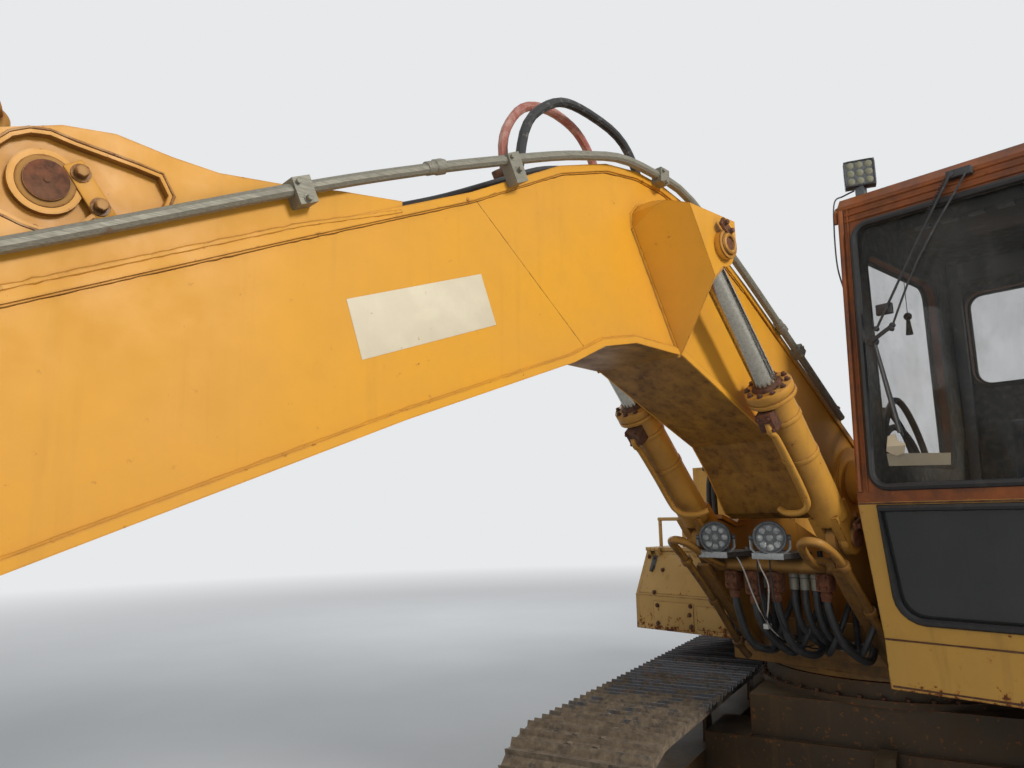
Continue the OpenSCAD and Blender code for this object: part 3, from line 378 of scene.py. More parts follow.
def two_hose_rubber(name):
    """Bleached rubber on the left of the middle plane, black on the right of it."""
    f = Finish(name)
    skin = f.noise(24.0, 6.0, 0.68)
    pale = f.mix(f.span(skin, 0.4, 0.66), (0.36, 0.115, 0.085), (0.56, 0.33, 0.27))
    black = f.mix(f.span(skin, 0.54, 0.70), (0.02, 0.02, 0.021), (0.20, 0.19, 0.18))
    f.set("Base Color", f.mix(f.calc("LESS_THAN", f.y, 0.0), black, pale))
    f.set("Roughness", f.span(skin, 0.3, 0.7, 0.5, 0.75))
    f.bump(f.noise(300.0, 2.0), 0.2, 0.0006)
    return f.material


def mirror_face(name):
    """Silvered glass with dust on it."""
    f = Finish(name, Metallic=1.0, Roughness=0.05)
    film = f.span(f.noise(20.0), 0.5, 0.7, 0.0, 0.4)
    f.set("Base Color", f.mix(film, (0.75, 0.76, 0.77), DUST))
    return f.material


def lamp_lens(name):
    """Pressed lamp glass with small facets."""
    f = Finish(name, Roughness=0.08, Coat_Weight=0.6)
    spark = f.cells(60.0)
    f.set("Base Color", f.mix(f.span(spark, 0.1, 0.7), (0.50, 0.52, 0.50), (0.24, 0.26, 0.26)))
    f.bump(spark, 0.4, 0.002)
    return f.material


SUN_YELLOW = (0.82, 0.385, 0.026)
PALE_YELLOW = (0.80, 0.42, 0.085)
DULL_YELLOW = (0.62, 0.31, 0.05)
ORANGE_RUST = (0.35, 0.098, 0.024)
BURNT_ORANGE = (0.145, 0.048, 0.022)

boom_paint = weathered_paint("sun faded boom paint", SUN_YELLOW, (0.77, 0.365, 0.052), chips=0.25,
                             edge_wear=0.55, corner_shade_and_dust=0.35, streaks=0.12, belly_dirt_and_shade=0.95, belly_half=0.192)
# Its painted shade darkens the frame's lower front up to about 1.6 m.
frame_paint = weathered_paint("chipped frame paint", (0.60, 0.285, 0.045), (0.46, 0.225, 0.045),
                              chips=0.70, edge_wear=0.9, corner_shade_and_dust=0.75, streaks=0.45, belly_dirt_and_shade=0.9,
                              painted_shade_low=(1.02, 0.62, 0.85))
digging_paint = weathered_paint("scraped digging paint", (0.66, 0.31, 0.045), (0.50, 0.24, 0.045),
                                chips=0.8, edge_wear=0.9, corner_shade_and_dust=0.6, streaks=0.4, worn_ahead=(7.9, 8.6))
cylinder_paint = weathered_paint("cylinder tube paint", (0.66, 0.31, 0.05), DULL_YELLOW, chips=0.50,
                                 edge_wear=0.8, corner_shade_and_dust=0.5, streaks=0.3, belly_dirt_and_shade=0.5)
body_paint = weathered_paint("housing paint", PALE_YELLOW, (0.68, 0.36, 0.075), chips=0.45,
                             edge_wear=0.7, corner_shade_and_dust=0.45, streaks=0.35, rust_below=(1.03, 0.10))
box_paint = weathered_paint("tool box paint", (0.66, 0.40, 0.13), (0.52, 0.31, 0.09), chips=0.55,
                            edge_wear=0.8, corner_shade_and_dust=0.5, streaks=0.45, rust_below=(1.04, 0.12))
# Painted shade: the undercarriage's paint tones are made very dark to stand for the shade under the
# machine. The mud and chips on it are dirt and wear.
shade_darkened_low_paint = weathered_paint("undercarriage paint", (0.105, 0.062, 0.026), (0.060, 0.040, 0.024),
                            chips=0.9, edge_wear=0.9, corner_shade_and_dust=0.9, streaks=0.5, mud_below=(0.10, 0.45),
                            belly_dirt_and_shade=0.8)
cab_paint = weathered_paint("two tone cab paint", (0.66, 0.36, 0.07), (0.56, 0.32, 0.075), chips=0.55,
                            edge_wear=0.7, corner_shade_and_dust=0.5, streaks=0.3,
                            upper=(1.735, ORANGE_RUST, BURNT_ORANGE), rust_below=(1.03, 0.06),
                            lining=cab_lining)
pin_rust = rust_metal("rusty pin steel")
bolt_rust = rust_metal("rusty bolt steel", (0.17, 0.055, 0.022), (0.05, 0.024, 0.015))
old_iron = rust_metal("brown cast iron", (0.13, 0.062, 0.032), (0.045, 0.03, 0.022), dust=0.45)
zinc_pipe = bare_steel("dull zinc pipe", (0.30, 0.285, 0.225), (0.17, 0.16, 0.125), rust=0.22,
                       gloss=0.50, metal=0.35, grain=(0.3, 4, 4))
galvanised = bare_steel("galvanised plate", (0.42, 0.43, 0.42), (0.28, 0.29, 0.29), rust=0.10,
                        gloss=0.46, metal=0.55)
rod_chrome = bare_steel("oily chrome rod", (0.50, 0.475, 0.41), (0.37, 0.35, 0.30), rust=0.08,
                        gloss=0.16, metal=1.0)
worn_steel = bare_steel("worn digging steel", (0.33, 0.32, 0.31), (0.16, 0.14, 0.13), rust=0.75,
                        gloss=0.4)
roller_steel = bare_steel("worn roller steel", (0.20, 0.18, 0.165), (0.09, 0.075, 0.066), rust=0.8,
                          gloss=0.42)
shoe_steel = track_steel("muddy track steel")
hose_rubber = rubber("worn hose rubber")
arch_rubber = two_hose_rubber("one black and one bleached arch hose")
seal_rubber = rubber("window seal rubber", (0.012, 0.012, 0.013), (0.07, 0.065, 0.06), share=0.2,
                     gloss=0.42)
black_plastic = rubber("moulded black plastic", (0.028, 0.028, 0.03), (0.13, 0.12, 0.11), share=0.3,
                       gloss=0.40)
grey_plastic = rubber("grey instrument plastic", (0.12, 0.12, 0.12), (0.25, 0.24, 0.22), share=0.3,
                      gloss=0.5)
lamp_grey = bare_steel("lamp casting", (0.13, 0.135, 0.14), (0.075, 0.078, 0.08), rust=0.02, gloss=0.42,
                       metal=0.5)
wire_white = rubber("white lamp wire", (0.62, 0.60, 0.56), (0.40, 0.36, 0.30), share=0.3, gloss=0.5)
cream_patch = weathered_paint("bare cream patch", (0.82, 0.74, 0.56), (0.78, 0.69, 0.50), chips=0.05,
                              edge_wear=0.1, corner_shade_and_dust=0.1, streaks=0.05)
# Below the knee of the front the pane is painted shade, almost opaque and dark.
clear_glass = dusty_glass("cab window glass", (0.034, 0.038, 0.036), clear=0.14, dust=0.16,
                          pane_shade_below=1.74)
seat_cloth = woven_cloth("dark seat cloth", (0.022, 0.022, 0.025), (0.05, 0.05, 0.055))
mirror_glass = mirror_face("mirror face")
dusty_lens = bare_steel("dusty lamp face", (0.30, 0.30, 0.21), (0.20, 0.20, 0.14), rust=0.0, gloss=0.7,
                        metal=0.0)
lens_glass = lamp_lens("lamp lenses")


# Shaping

def stand(at, axis=(0, 0, 1), turn=0.0):
    """A frame at a point with its Z along axis."""
    lean = Vector(axis).to_track_quat("Z", "Y").to_matrix().to_4x4()
    return Matrix.Translation(at) @ lean @ Matrix.Rotation(math.radians(turn), 4, "Z")


def tilted(at, degrees):
    """A frame at a point, turned about Y."""
    return Matrix.Translation(at) @ Matrix.Rotation(math.radians(degrees), 4, "Y")


SHARP = math.radians(40.0)


def soften(bm, verts, width, parts=2):
    """Rounds the sharp edges of the shape that was just made."""
    chosen = set(verts)
    rims = [e for e in bm.edges if e.verts[0] in chosen and e.verts[1] in chosen
            and len(e.link_faces) == 2 and e.calc_face_angle(0.0) > SHARP]
    bmesh.ops.bevel(bm, geom=rims, offset=width, offset_type="OFFSET", segments=parts, profile=0.5,
                    affect="EDGES", clamp_overlap=True, material=-1)


def disc(bm, at, axis, radius, height, sides=32, edge=0.0, top=None):
    """A round bar, boss or washer that starts at a point and runs along axis."""
    made = bmesh.ops.create_cone(bm, cap_ends=True, segments=sides, radius1=radius,
                                 radius2=radius if top is None else top, depth=height,
                                 matrix=stand(at, axis) @ Matrix.Translation((0, 0, height / 2)))
    if edge:
        soften(bm, made["verts"], edge)


def slab(bm, low, high, edge=0.0, frame_at=Matrix.Identity(4), parts=2):
    """A block between two corners, its edges rounded, set in a frame of its own where one is given."""
    low, high = Vector(low), Vector(high)
    made = bmesh.ops.create_cube(bm, size=1.0)
    scale = Matrix.Diagonal((*(high - low), 1.0))
    bmesh.ops.transform(bm, matrix=frame_at @ Matrix.Translation((low + high) / 2) @ scale,
                        verts=made["verts"])
    if edge:
        soften(bm, made["verts"], edge, parts)


def dome(bm, at, axis, radius, squash=0.5, sides=32):
    """A low round cap, its flat side at the point."""
    made = bmesh.ops.create_uvsphere(bm, u_segments=sides, v_segments=sides // 2, radius=radius)
    low_cap = stand(at, axis) @ Matrix.Diagonal((1, 1, squash, 1))
    bmesh.ops.transform(bm, matrix=low_cap, verts=made["verts"])


def hex_bolt(bm, at, axis, radius=0.011, turn=0.0):
    """A bolt's head on its washer."""
    disc(bm, at, axis, radius * 1.45, radius * 0.22, sides=14)
    here = stand(at, axis, turn) @ Matrix.Translation((0, 0, radius * 0.85))
    made = bmesh.ops.create_cone(bm, cap_ends=True, segments=6, radius1=radius, radius2=radius,
                                 depth=radius * 1.3, matrix=here)
    soften(bm, made["verts"], radius * 0.12, 1)


def nut(bm, at, axis, radius, height, edge=0.002, sides=6):
    """A nut, union or sleeve, its middle at a point."""
    made = bmesh.ops.create_cone(bm, cap_ends=True, segments=sides, radius1=radius, radius2=radius,
                                 depth=height, matrix=stand(at, axis))
    soften(bm, made["verts"], edge, 1)


def prism(bm, outline, start, end, edge=0.0, plane="xz"):
    """A plate cut to an outline: points in X-Z with a thickness along Y, or in Y-Z along X."""
    order = {"xz": lambda a, b, c: (a, c, b), "yz": lambda a, b, c: (c, a, b)}[plane]
    loop = [bm.verts.new(order(a, b, start)) for a, b in outline]
    face = bm.faces.new(loop)
    grown = bmesh.ops.extrude_face_region(bm, geom=[face])
    raised = [v for v in grown["geom"] if isinstance(v, bmesh.types.BMVert)]
    bmesh.ops.translate(bm, vec=Vector(order(0, 0, end - start)), verts=raised)
    if edge:
        bm.normal_update()
        soften(bm, loop + raised, edge)


def route(points, step):
    """A smooth line through points."""
    points = [Vector(p) for p in points]
    last = len(points) - 1
    line = []
    for i in range(last):
        a, b, c, d = points[max(i - 1, 0)], points[i], points[i + 1], points[min(i + 2, last)]
        for k in range(step):
            t = k / step
            bend = (2 * a - 5 * b + 4 * c - d) * t * t + (3 * b - a - 3 * c + d) * t ** 3
            line.append(0.5 * ((2 * b) + (c - a) * t + bend))
    line.append(points[-1])
    return line


def sweep(bm, line, radius, sides=10, closed=False, flat=1.0, uneven=0.0, seed=0.0):
    """Draws a round bar, hose or weld bead along a line by extruding one ring."""
    line = [Vector(p) for p in line]
    count = len(line)

    def heading(i):
        before = line[(i - 1) % count] if closed else line[max(i - 1, 0)]
        after = line[(i + 1) % count] if closed else line[min(i + 1, count - 1)]
        return (after - before).normalized()

    ahead = heading(0)
    here = stand(line[0], ahead) @ Matrix.Diagonal((flat, 1, 1, 1))
    first = bmesh.ops.create_circle(bm, cap_ends=False, segments=sides, radius=radius,
                                    matrix=here)["verts"]
    ring = [e for e in bm.edges if e.verts[0] in first and e.verts[1] in first]
    start_ring, spot, size = list(ring), line[0], 1.0
    for i in range(1, count):
        grown = bmesh.ops.extrude_edge_only(bm, edges=ring)["geom"]
        verts = [g for g in grown if isinstance(g, bmesh.types.BMVert)]
        ring = [g for g in grown if isinstance(g, bmesh.types.BMEdge)
                and g.verts[0] in verts and g.verts[1] in verts]
        turn = ahead.rotation_difference(heading(i)).to_matrix().to_4x4()
        ahead = heading(i)
        wanted = 1.0 + uneven * noise.noise(line[i] * 60.0 + Vector((seed, 0, 0)))
        grow = wanted / size
        size = wanted
        step = Matrix.Translation(line[i]) @ turn @ Matrix.Scale(grow, 4) @ Matrix.Translation(-spot)
        bmesh.ops.transform(bm, matrix=step, verts=verts)
        spot = line[i]
    if closed:
        bmesh.ops.bridge_loops(bm, edges=ring + start_ring)
    else:
        bmesh.ops.edgeloop_fill(bm, edges=start_ring)
        bmesh.ops.edgeloop_fill(bm, edges=ring)


def hose(bm, points, radius, sides, step=6):
    """A hose, pipe or wire bent smoothly through points."""
    sweep(bm, route(points, step), radius, sides)


def hoop(bm, line, radius, sides=8):
    """A bar or seal that closes on itself."""
    sweep(bm, line, radius, sides, closed=True)


def weld(bm, points, radius=0.0045, step=0.018, seed=0.0):
    """A weld bead along straight stretches, its thickness uneven."""
    points = [Vector(p) for p in points]
    line = [points[0]]
    for a, b in zip(points, points[1:]):
        parts = max(1, int((b - a).length / step))
        line += [a.lerp(b, (k + 1) / parts) for k in range(parts)]
    sweep(bm, line, radius, sides=6, uneven=0.5, seed=seed)


def piece(name, bm, finish, body, replaces=(), angle=32.0, mirrored=False):
    """Closes a mesh, gives it its finish and makes it ride on its body."""
    if mirrored:
        copy = bmesh.ops.duplicate(bm, geom=bm.verts[:] + bm.edges[:] + bm.faces[:])["geom"]
        verts = [g for g in copy if isinstance(g, bmesh.types.BMVert)]
        bmesh.ops.transform(bm, matrix=Matrix.Diagonal((1, -1, 1, 1)), verts=verts)
    bmesh.ops.recalc_face_normals(bm, faces=bm.faces)
    mesh = bpy.data.meshes.new(name)
    bm.to_mesh(mesh)
    bm.free()
    mesh.polygons.foreach_set("use_smooth", [True] * len(mesh.polygons))
    mesh.set_sharp_from_angle(angle=math.radians(angle))
    mesh.materials.append(finish)
    obj = bpy.data.objects.new(name, mesh)
    bpy.context.scene.collection.objects.link(obj)
    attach(obj, body)
    if replaces:
        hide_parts(*replaces)
    return obj


def inset(points, d):
    """The same outline drawn inwards; its points run clockwise."""
    out = []
    for i, (x, z) in enumerate(points):
        px, pz = points[i - 1]
        qx, qz = points[(i + 1) % len(points)]
        a = Vector((z - pz, px - x)).normalized()
        b = Vector((qz - z, x - qx)).normalized()
        m = a + b
        out.append((x + m.x * 2 * d / m.length_squared, z + m.y * 2 * d / m.length_squared))
    return out


def circle(radius, count):
    """Points spaced evenly round a circle about the origin."""
    angles = [2 * math.pi * k / count for k in range(count)]
    return [(radius * math.cos(a), radius * math.sin(a)) for a in angles]


def arc(a, b, radius, start, end, step):
    """Points of a circle round (a, b), from one angle in degrees to just short of another."""
    angles = [math.radians(angle) for angle in range(start, end, step)]
    return [(a + radius * math.cos(t), b + radius * math.sin(t)) for t in angles]


def rounded_loop(y0, z0, y1, z1, r, parts=5):
    """Corners of a rounded rectangle, anticlockwise."""
    out = []
    corners = ((y1 - r, z1 - r, 0), (y0 + r, z1 - r, 90), (y0 + r, z0 + r, 180), (y1 - r, z0 + r, 270))
    for cy, cz, start in corners:
        for k in range(parts + 1):
            a = math.radians(start + 90 * k / parts)
            out.append((cy + r * math.cos(a), cz + r * math.sin(a)))
    return out


# Finishes of the carried-over solids

node_finish = {
    "boom": boom_paint, "stick": boom_paint, "bucket": digging_paint, "bucket_teeth": worn_steel,
    "boom_pipes": zinc_pipe, "boom_hoses": arch_rubber, "foot_hoses": hose_rubber,
    "boom_cylinder_barrels": cylinder_paint, "stick_cylinder_barrel": cylinder_paint,
    "bucket_cylinder_barrel": cylinder_paint,
    "boom_cylinder_rods": rod_chrome, "stick_cylinder_rod": rod_chrome, "bucket_cylinder_rod": rod_chrome,
    "rocker_levers": digging_paint, "bucket_link": digging_paint,
    "upper_frame": frame_paint, "counterweight": body_paint, "lifting_eyes": frame_paint,
    "engine_housing": body_paint, "engine_hood": body_paint, "engine_block": old_iron,
    "service_door_left": body_paint, "service_door_right": body_paint,
    "tank_right": body_paint, "side_cabinet": body_paint, "tool_box": box_paint,
    "tool_box_lid": box_paint,
    "cab_shell": cab_paint, "cab_door": cab_paint, "cab_glass": clear_glass, "door_glass": clear_glass,
    "operator_seat": seat_cloth, "control_console": black_plastic, "work_lamps": lamp_grey,
    "exhaust": pin_rust, "handrails": frame_paint, "carbody": shade_darkened_low_paint, "track_frames": shade_darkened_low_paint,
    "track_left": shoe_steel, "track_right": shoe_steel, "sprockets": roller_steel,
    "idlers": roller_steel, "track_rollers": roller_steel,
    "final_drives": shade_darkened_low_paint, "tow_eyes": shade_darkened_low_paint,
}
for node_name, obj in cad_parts.items():
    finish = node_finish.get(node_name, frame_paint)
    for place in obj.material_slots:
        place.material = finish


# Boom

CYL_FOOT = (1.150, 1.600)
ROD_PIN = (2.014, 2.620)
STICK_FOOT = (4.000, 2.355)
CYL_Y = 0.320
BEAD_Y = 0.1905
boom_top = [(0.590, 1.900), (0.600, 1.975), (0.704, 2.052), (1.523, 2.612), (1.939, 2.866),
            (2.060, 2.896), (2.210, 2.908), (2.378, 2.887), (2.604, 2.811), (2.972, 2.618),
            (3.487, 2.388), (4.056, 2.129), (5.300, 1.600), (5.550, 1.400)]
boom_low = [(5.550, 1.140), (5.420, 1.120), (4.900, 1.290), (4.018, 1.631), (3.186, 1.955),
            (2.565, 2.176), (2.416, 2.247), (2.256, 2.279), (1.995, 2.268), (1.716, 2.138),
            (1.393, 1.993), (1.290, 1.874), (1.200, 1.745), (1.168, 1.700), (1.110, 1.676),
            (0.720, 1.672), (0.590, 1.720)]


def height_on(outline, x):
    """The height of an outline above a place along the boom."""
    for (x0, z0), (x1, z1) in zip(outline, outline[1:]):
        if min(x0, x1) <= x <= max(x0, x1) and x0 != x1:
            return z0 + (z1 - z0) * (x - x0) / (x1 - x0)
    return outline[-1][1]


def boom_welds():
    """Beads where the web meets the flanges, round the brackets and down the web's joint."""
    bm = bmesh.new()
    web = inset(boom_top + boom_low, 0.026)
    upper, lower = web[3:13], web[15:25]
    for side in (-1, 1):
        y = side * BEAD_Y
        weld(bm, [(x, y, z) for x, z in upper], 0.0045, seed=side)
        weld(bm, [(x, y, z) for x, z in lower], 0.0045, seed=side + 3)
        plate = [(3.205, 2.5), (3.487, 2.392), (4.056, 2.133), (4.21, 2.07)]
        weld(bm, [(x, side * 0.197, z) for x, z in plate], 0.007, seed=side + 5)
        for k, joint in enumerate((((2.944, 2.603), (2.503, 2.228)), ((4.70, 1.83), (4.62, 1.42)))):
            weld(bm, [(x, side * 0.1893, z) for x, z in joint], 0.0017, seed=side + 7 + k)
    piece("boom_weld_beads", bm, boom_paint, "boom")


def boom_patch():
    """The bare cream plate on each web."""
    bm = bmesh.new()
    for side in (-1, 1):
        corners = [(3.357, 2.239), (2.931, 2.388), (2.877, 2.248), (3.311, 2.094)]
        prism(bm, corners, side * 0.190, side * 0.1912, edge=0.0005)
    piece("bare_web_patch", bm, cream_patch, "boom")


def stick_bracket_fittings():
    """Round the stick cylinder's foot: pin end, boss ring, keeper plate with two bolts, the hollow's
    raised rim, and the grease line behind the bracket."""
    cx, cz = STICK_FOOT
    rim = arc(cx, cz, 0.092, 210, 291, 20) + [(4.080, 2.285)] + arc(cx, cz, 0.092, 330, 451, 20)
    rim += [(3.960, 2.440), (3.850, 2.428), (3.800, 2.420), (3.780, 2.385), (3.790, 2.350),
            (3.830, 2.322)]
    wide = inset(list(reversed(rim)), -0.010)
    beads, iron, rusty, paint = bmesh.new(), bmesh.new(), bmesh.new(), bmesh.new()
    for side in (-1, 1):
        out = (0, side, 0)
        sweep(beads, [(x, side * 0.1955, z) for x, z in wide], 0.0035, sides=6, closed=True, uneven=0.3)
        disc(iron, (cx, side * 0.188, cz), out, 0.052, 0.006, 40, edge=0.002)
        disc(rusty, (cx, side * 0.190, cz), out, 0.0405, 0.012, 40, edge=0.004)
        disc(rusty, (cx, side * 0.2015, cz), out, 0.006, 0.003, 12)
        middle, lean = Vector((3.925, side * 0.190, 2.355)), math.atan2(0.092, 0.064)
        turn = Matrix.Translation(middle) @ Matrix.Rotation(-lean, 4, "Y")
        slab(paint, (-0.060, -0.007, -0.020), (0.060, 0.007, 0.020), 0.003, turn)
        for x, z in ((3.944, 2.385), (3.906, 2.326)):
            hex_bolt(iron, (x, side * 0.197, z), out, 0.013, turn=12)
    piece("bracket_rim_beads", beads, frame_paint, "boom")
    piece("bracket_boss_rings", iron, frame_paint, "boom")
    piece("bracket_pin_ends", rusty, pin_rust, "boom")
    piece("bracket_keepers", paint, boom_paint, "boom")
    bm = bmesh.new()
    top = [(x, 0.09, height_on(boom_top, x) + 0.022) for x in (3.40, 3.2, 3.0, 2.8, 2.6, 2.45)]
    hose(bm, [(3.95, 0.02, 2.486), (3.93, 0.03, 2.52), (3.86, 0.04, 2.515), (3.70, 0.06, 2.49)] + top,
         0.012, 10)
    piece("bracket_grease_line", bm, hose_rubber, "boom")


def lug_fittings():
    """Beads along the cylinder brackets' edges, collars, keepers and pin ends."""
    beads, rusty, paint = bmesh.new(), bmesh.new(), bmesh.new()
    weld(beads, [(2.007, BEAD_Y, 2.262), (2.241, BEAD_Y, 2.690)], 0.006, seed=2)
    top = ((2.241, 2.69), (2.244, 2.745), (2.207, 2.785), (2.150, 2.803))
    weld(beads, [(x, BEAD_Y, z) for x, z in top], 0.0045, seed=4)
    y = CYL_Y + 0.104
    disc(rusty, (ROD_PIN[0], y - 0.001, ROD_PIN[1]), (0, 1, 0), 0.030, 0.006, 32, edge=0.002)
    ring = [(ROD_PIN[0] + a, y + 0.005, ROD_PIN[1] + b) for a, b in circle(0.031, 32)]
    hoop(paint, ring, 0.0085)
    disc(paint, (ROD_PIN[0], y - 0.003, ROD_PIN[1]), (0, 1, 0), 0.052, 0.006, 40, edge=0.002)
    turn = tilted((ROD_PIN[0] + 0.012, y + 0.004, ROD_PIN[1] + 0.056), -38)
    slab(rusty, (-0.034, -0.006, -0.016), (0.034, 0.006, 0.016), 0.002, turn)
    for dx in (-0.019, 0.019):
        hex_bolt(rusty, turn @ Vector((dx, 0.006, 0.002)), (0, 1, 0), 0.009, turn=20)
    piece("lug_weld_beads", beads, boom_paint, "boom", mirrored=True)
    piece("lug_pin_ends", rusty, pin_rust, "boom", mirrored=True)
    piece("lug_collar_rings", paint, frame_paint, "boom", mirrored=True)


def pipe_fittings():
    """Bolts on the pipe clamps, unions on the pipes, ferrules on the hoses over the boom."""
    bolts, unions, ferrules = bmesh.new(), bmesh.new(), bmesh.new()
    clamps = [(1.180, 2.382, 35), (2.100, 2.914, 4), (2.835, 2.742, -25), (3.500, 2.471, -24),
              (4.600, 1.966, -24)]
    for side in (-1, 1):
        for x, z, lean in clamps:
            turn = tilted((x, side * 0.242, z), -lean)
            hex_bolt(bolts, turn @ Vector((0, 0, -0.029)), (0, side, 0), 0.0085, turn=15)
            hex_bolt(bolts, turn @ Vector((0.012, -side * 0.002, 0.012)), (0, side, 0), 0.0068, turn=40)
        for a, b in (((3.10, 2.6475), (3.25, 2.5825)), ((1.30, 2.465), (1.42, 2.551)),
                     ((4.30, 2.0985), (4.42, 2.046))):
            a3, b3 = Vector((a[0], side * 0.220, a[1])), Vector((b[0], side * 0.220, b[1]))
            ahead = (b3 - a3).normalized()
            nut(unions, a3, ahead, 0.023, 0.034)
            disc(unions, a3 + ahead * 0.016, ahead, 0.019, 0.03, 20, edge=0.002)
    for x, y in ((2.640, 0.04), (1.990, 0.04), (2.620, -0.04), (2.150, -0.04)):
        z = height_on(boom_top, x)
        slope = math.atan2(height_on(boom_top, x + 0.01) - height_on(boom_top, x - 0.01), 0.02)
        up = Vector((-math.sin(slope), 0, math.cos(slope)))
        spot = Vector((x, y, z))
        nut(ferrules, spot + up * 0.018, up, 0.029, 0.03)
        disc(ferrules, spot + up * 0.033, up, 0.0255, 0.042, 24, edge=0.003)
        slab(ferrules, (x - 0.05, y - 0.035, z - 0.004), (x + 0.05, y + 0.035, z + 0.008), 0.003)
    piece("pipe_clamp_bolts", bolts, zinc_pipe, "boom")
    piece("pipe_unions", unions, zinc_pipe, "boom")
    piece("arch_hose_ferrules", ferrules, bolt_rust, "boom")


boom_welds()
boom_patch()
stick_bracket_fittings()
lug_fittings()
pipe_fittings()


# Boom cylinders

CYL_DIR = Vector((ROD_PIN[0] - CYL_FOOT[0], 0, ROD_PIN[1] - CYL_FOOT[1])).normalized()
CYL_OVER = Vector((-CYL_DIR.z, 0, CYL_DIR.x))


def on_cylinder(s, side, out=0.0, up=0.0):
    """A point on a boom cylinder: s along it, out to the outer side, up square to it."""
    foot = Vector((CYL_FOOT[0], side * CYL_Y, CYL_FOOT[1]))
    return foot + CYL_DIR * s + Vector((0, side * out, 0)) + CYL_OVER * up


def cylinder_hardware():
    """Gland ring with its bolts, end dome, bands, port block and feed pipe of each boom cylinder, and
    the collar on its rod."""
    gland, rusty, bolts, pipes = bmesh.new(), bmesh.new(), bmesh.new(), bmesh.new()
    for side in (-1, 1):
        disc(gland, on_cylinder(0.700, side), CYL_DIR, 0.0935, 0.018, 48, edge=0.003)
        disc(gland, on_cylinder(0.722, side), CYL_DIR, 0.0925, 0.034, 48, edge=0.004)
        disc(rusty, on_cylinder(0.753, side), CYL_DIR, 0.062, 0.016, 40, edge=0.004, top=0.054)
        dome(gland, on_cylinder(0.118, side), -CYL_DIR, 0.0705, 0.55, 40)
        for k in range(10):
            a = math.radians(k * 36 + 18)
            spot = on_cylinder(0.7555, side, 0.077 * math.cos(a), 0.077 * math.sin(a))
            hex_bolt(bolts, spot, CYL_DIR, 0.0085, turn=k * 11)
        for s in (0.42, 0.60):
            disc(gland, on_cylinder(s, side), CYL_DIR, 0.0735, 0.022, 48, edge=0.002)
        turn = Matrix.Translation(on_cylinder(0.655, side, -0.006, -0.083)) @ stand((0, 0, 0), CYL_DIR)
        slab(rusty, (-0.033, -0.030, -0.038), (0.033, 0.030, 0.038), 0.006, turn)
        for dx in (-0.022, 0.022):
            for dz in (-0.026, 0.026):
                hex_bolt(bolts, on_cylinder(0.655 + dz, side, -0.006 + dx, -0.112), -CYL_OVER, 0.0068,
                         turn=10)
        bends = [(0.655, 0.0, -0.106), (0.618, 0.002, -0.116), (0.58, 0.004, -0.102),
                 (0.42, 0.004, -0.096), (0.290, 0.002, -0.098), (0.245, -0.012, -0.103),
                 (0.222, -0.050, -0.106), (0.215, -0.110, -0.098), (0.212, -0.150, -0.070)]
        hose(pipes, [on_cylinder(s, side, out, up) for s, out, up in bends], 0.0125, 12, 7)
    piece("boom_cylinder_collars", gland, cylinder_paint, "boom_barrels")
    piece("boom_cylinder_glands", rusty, bolt_rust, "boom_barrels")
    piece("boom_cylinder_bolts", bolts, bolt_rust, "boom_barrels")
    piece("boom_cylinder_feed_pipes", pipes, cylinder_paint, "boom_barrels")
    rings = bmesh.new()
    for side in (-1, 1):
        disc(rings, on_cylinder(1.262, side), CYL_DIR, 0.052, 0.03, 36, edge=0.004)
    piece("boom_rod_collars", rings, bolt_rust, "boom_rods")


cylinder_hardware()


# Cab

KNEE_Z = 1.726
SILL_Z = 1.216


def front_x(z):
    """The cab's front skin at a height: it leans forward up to the knee, and back above it."""
    return 1.276 - (z - KNEE_Z) * 0.0539 if z > KNEE_Z else 1.152 + (z - SILL_Z) * 0.2431


def on_front(y, z, out=0.0):
    """A point on the cab's front skin, or proud of it."""
    return Vector((front_x(z) + out, y, z))


def cab_seals():
    """Black rubber round every pane, and round the door's gap."""
    bm = bmesh.new()
    hoop(bm, [on_front(y, z, 0.001) for y, z in rounded_loop(0.52, 1.79, 1.32, 2.85, 0.06)], 0.0145)
    low = [(1.320, 1.712), (0.536, 1.712)]
    low += arc(0.626, 1.382, 0.09, 180, 271, 18) + arc(1.230, 1.382, 0.09, 270, 361, 18)
    hoop(bm, [on_front(y, z, 0.001) for y, z in low], 0.0145)
    hoop(bm, [(x, 0.459, z) for x, z in rounded_loop(0.32, 1.90, 1.08, 2.77, 0.07)], 0.012)
    hoop(bm, [(0.069, y, z) for y, z in rounded_loop(0.57, 2.29, 1.27, 2.75, 0.07)], 0.012)
    hoop(bm, [(x, 1.3795, z) for x, z in rounded_loop(0.163, 1.133, 0.9785, 2.857, 0.078)], 0.004, 6)
    piece("cab_window_seals", bm, seal_rubber, "upper")
    bm = bmesh.new()
    hoop(bm, [(x, 1.381, z) for x, z in rounded_loop(0.266, 1.90, 0.88, 2.74, 0.06)], 0.012)
    piece("door_window_seal", bm, seal_rubber, "cab_door")


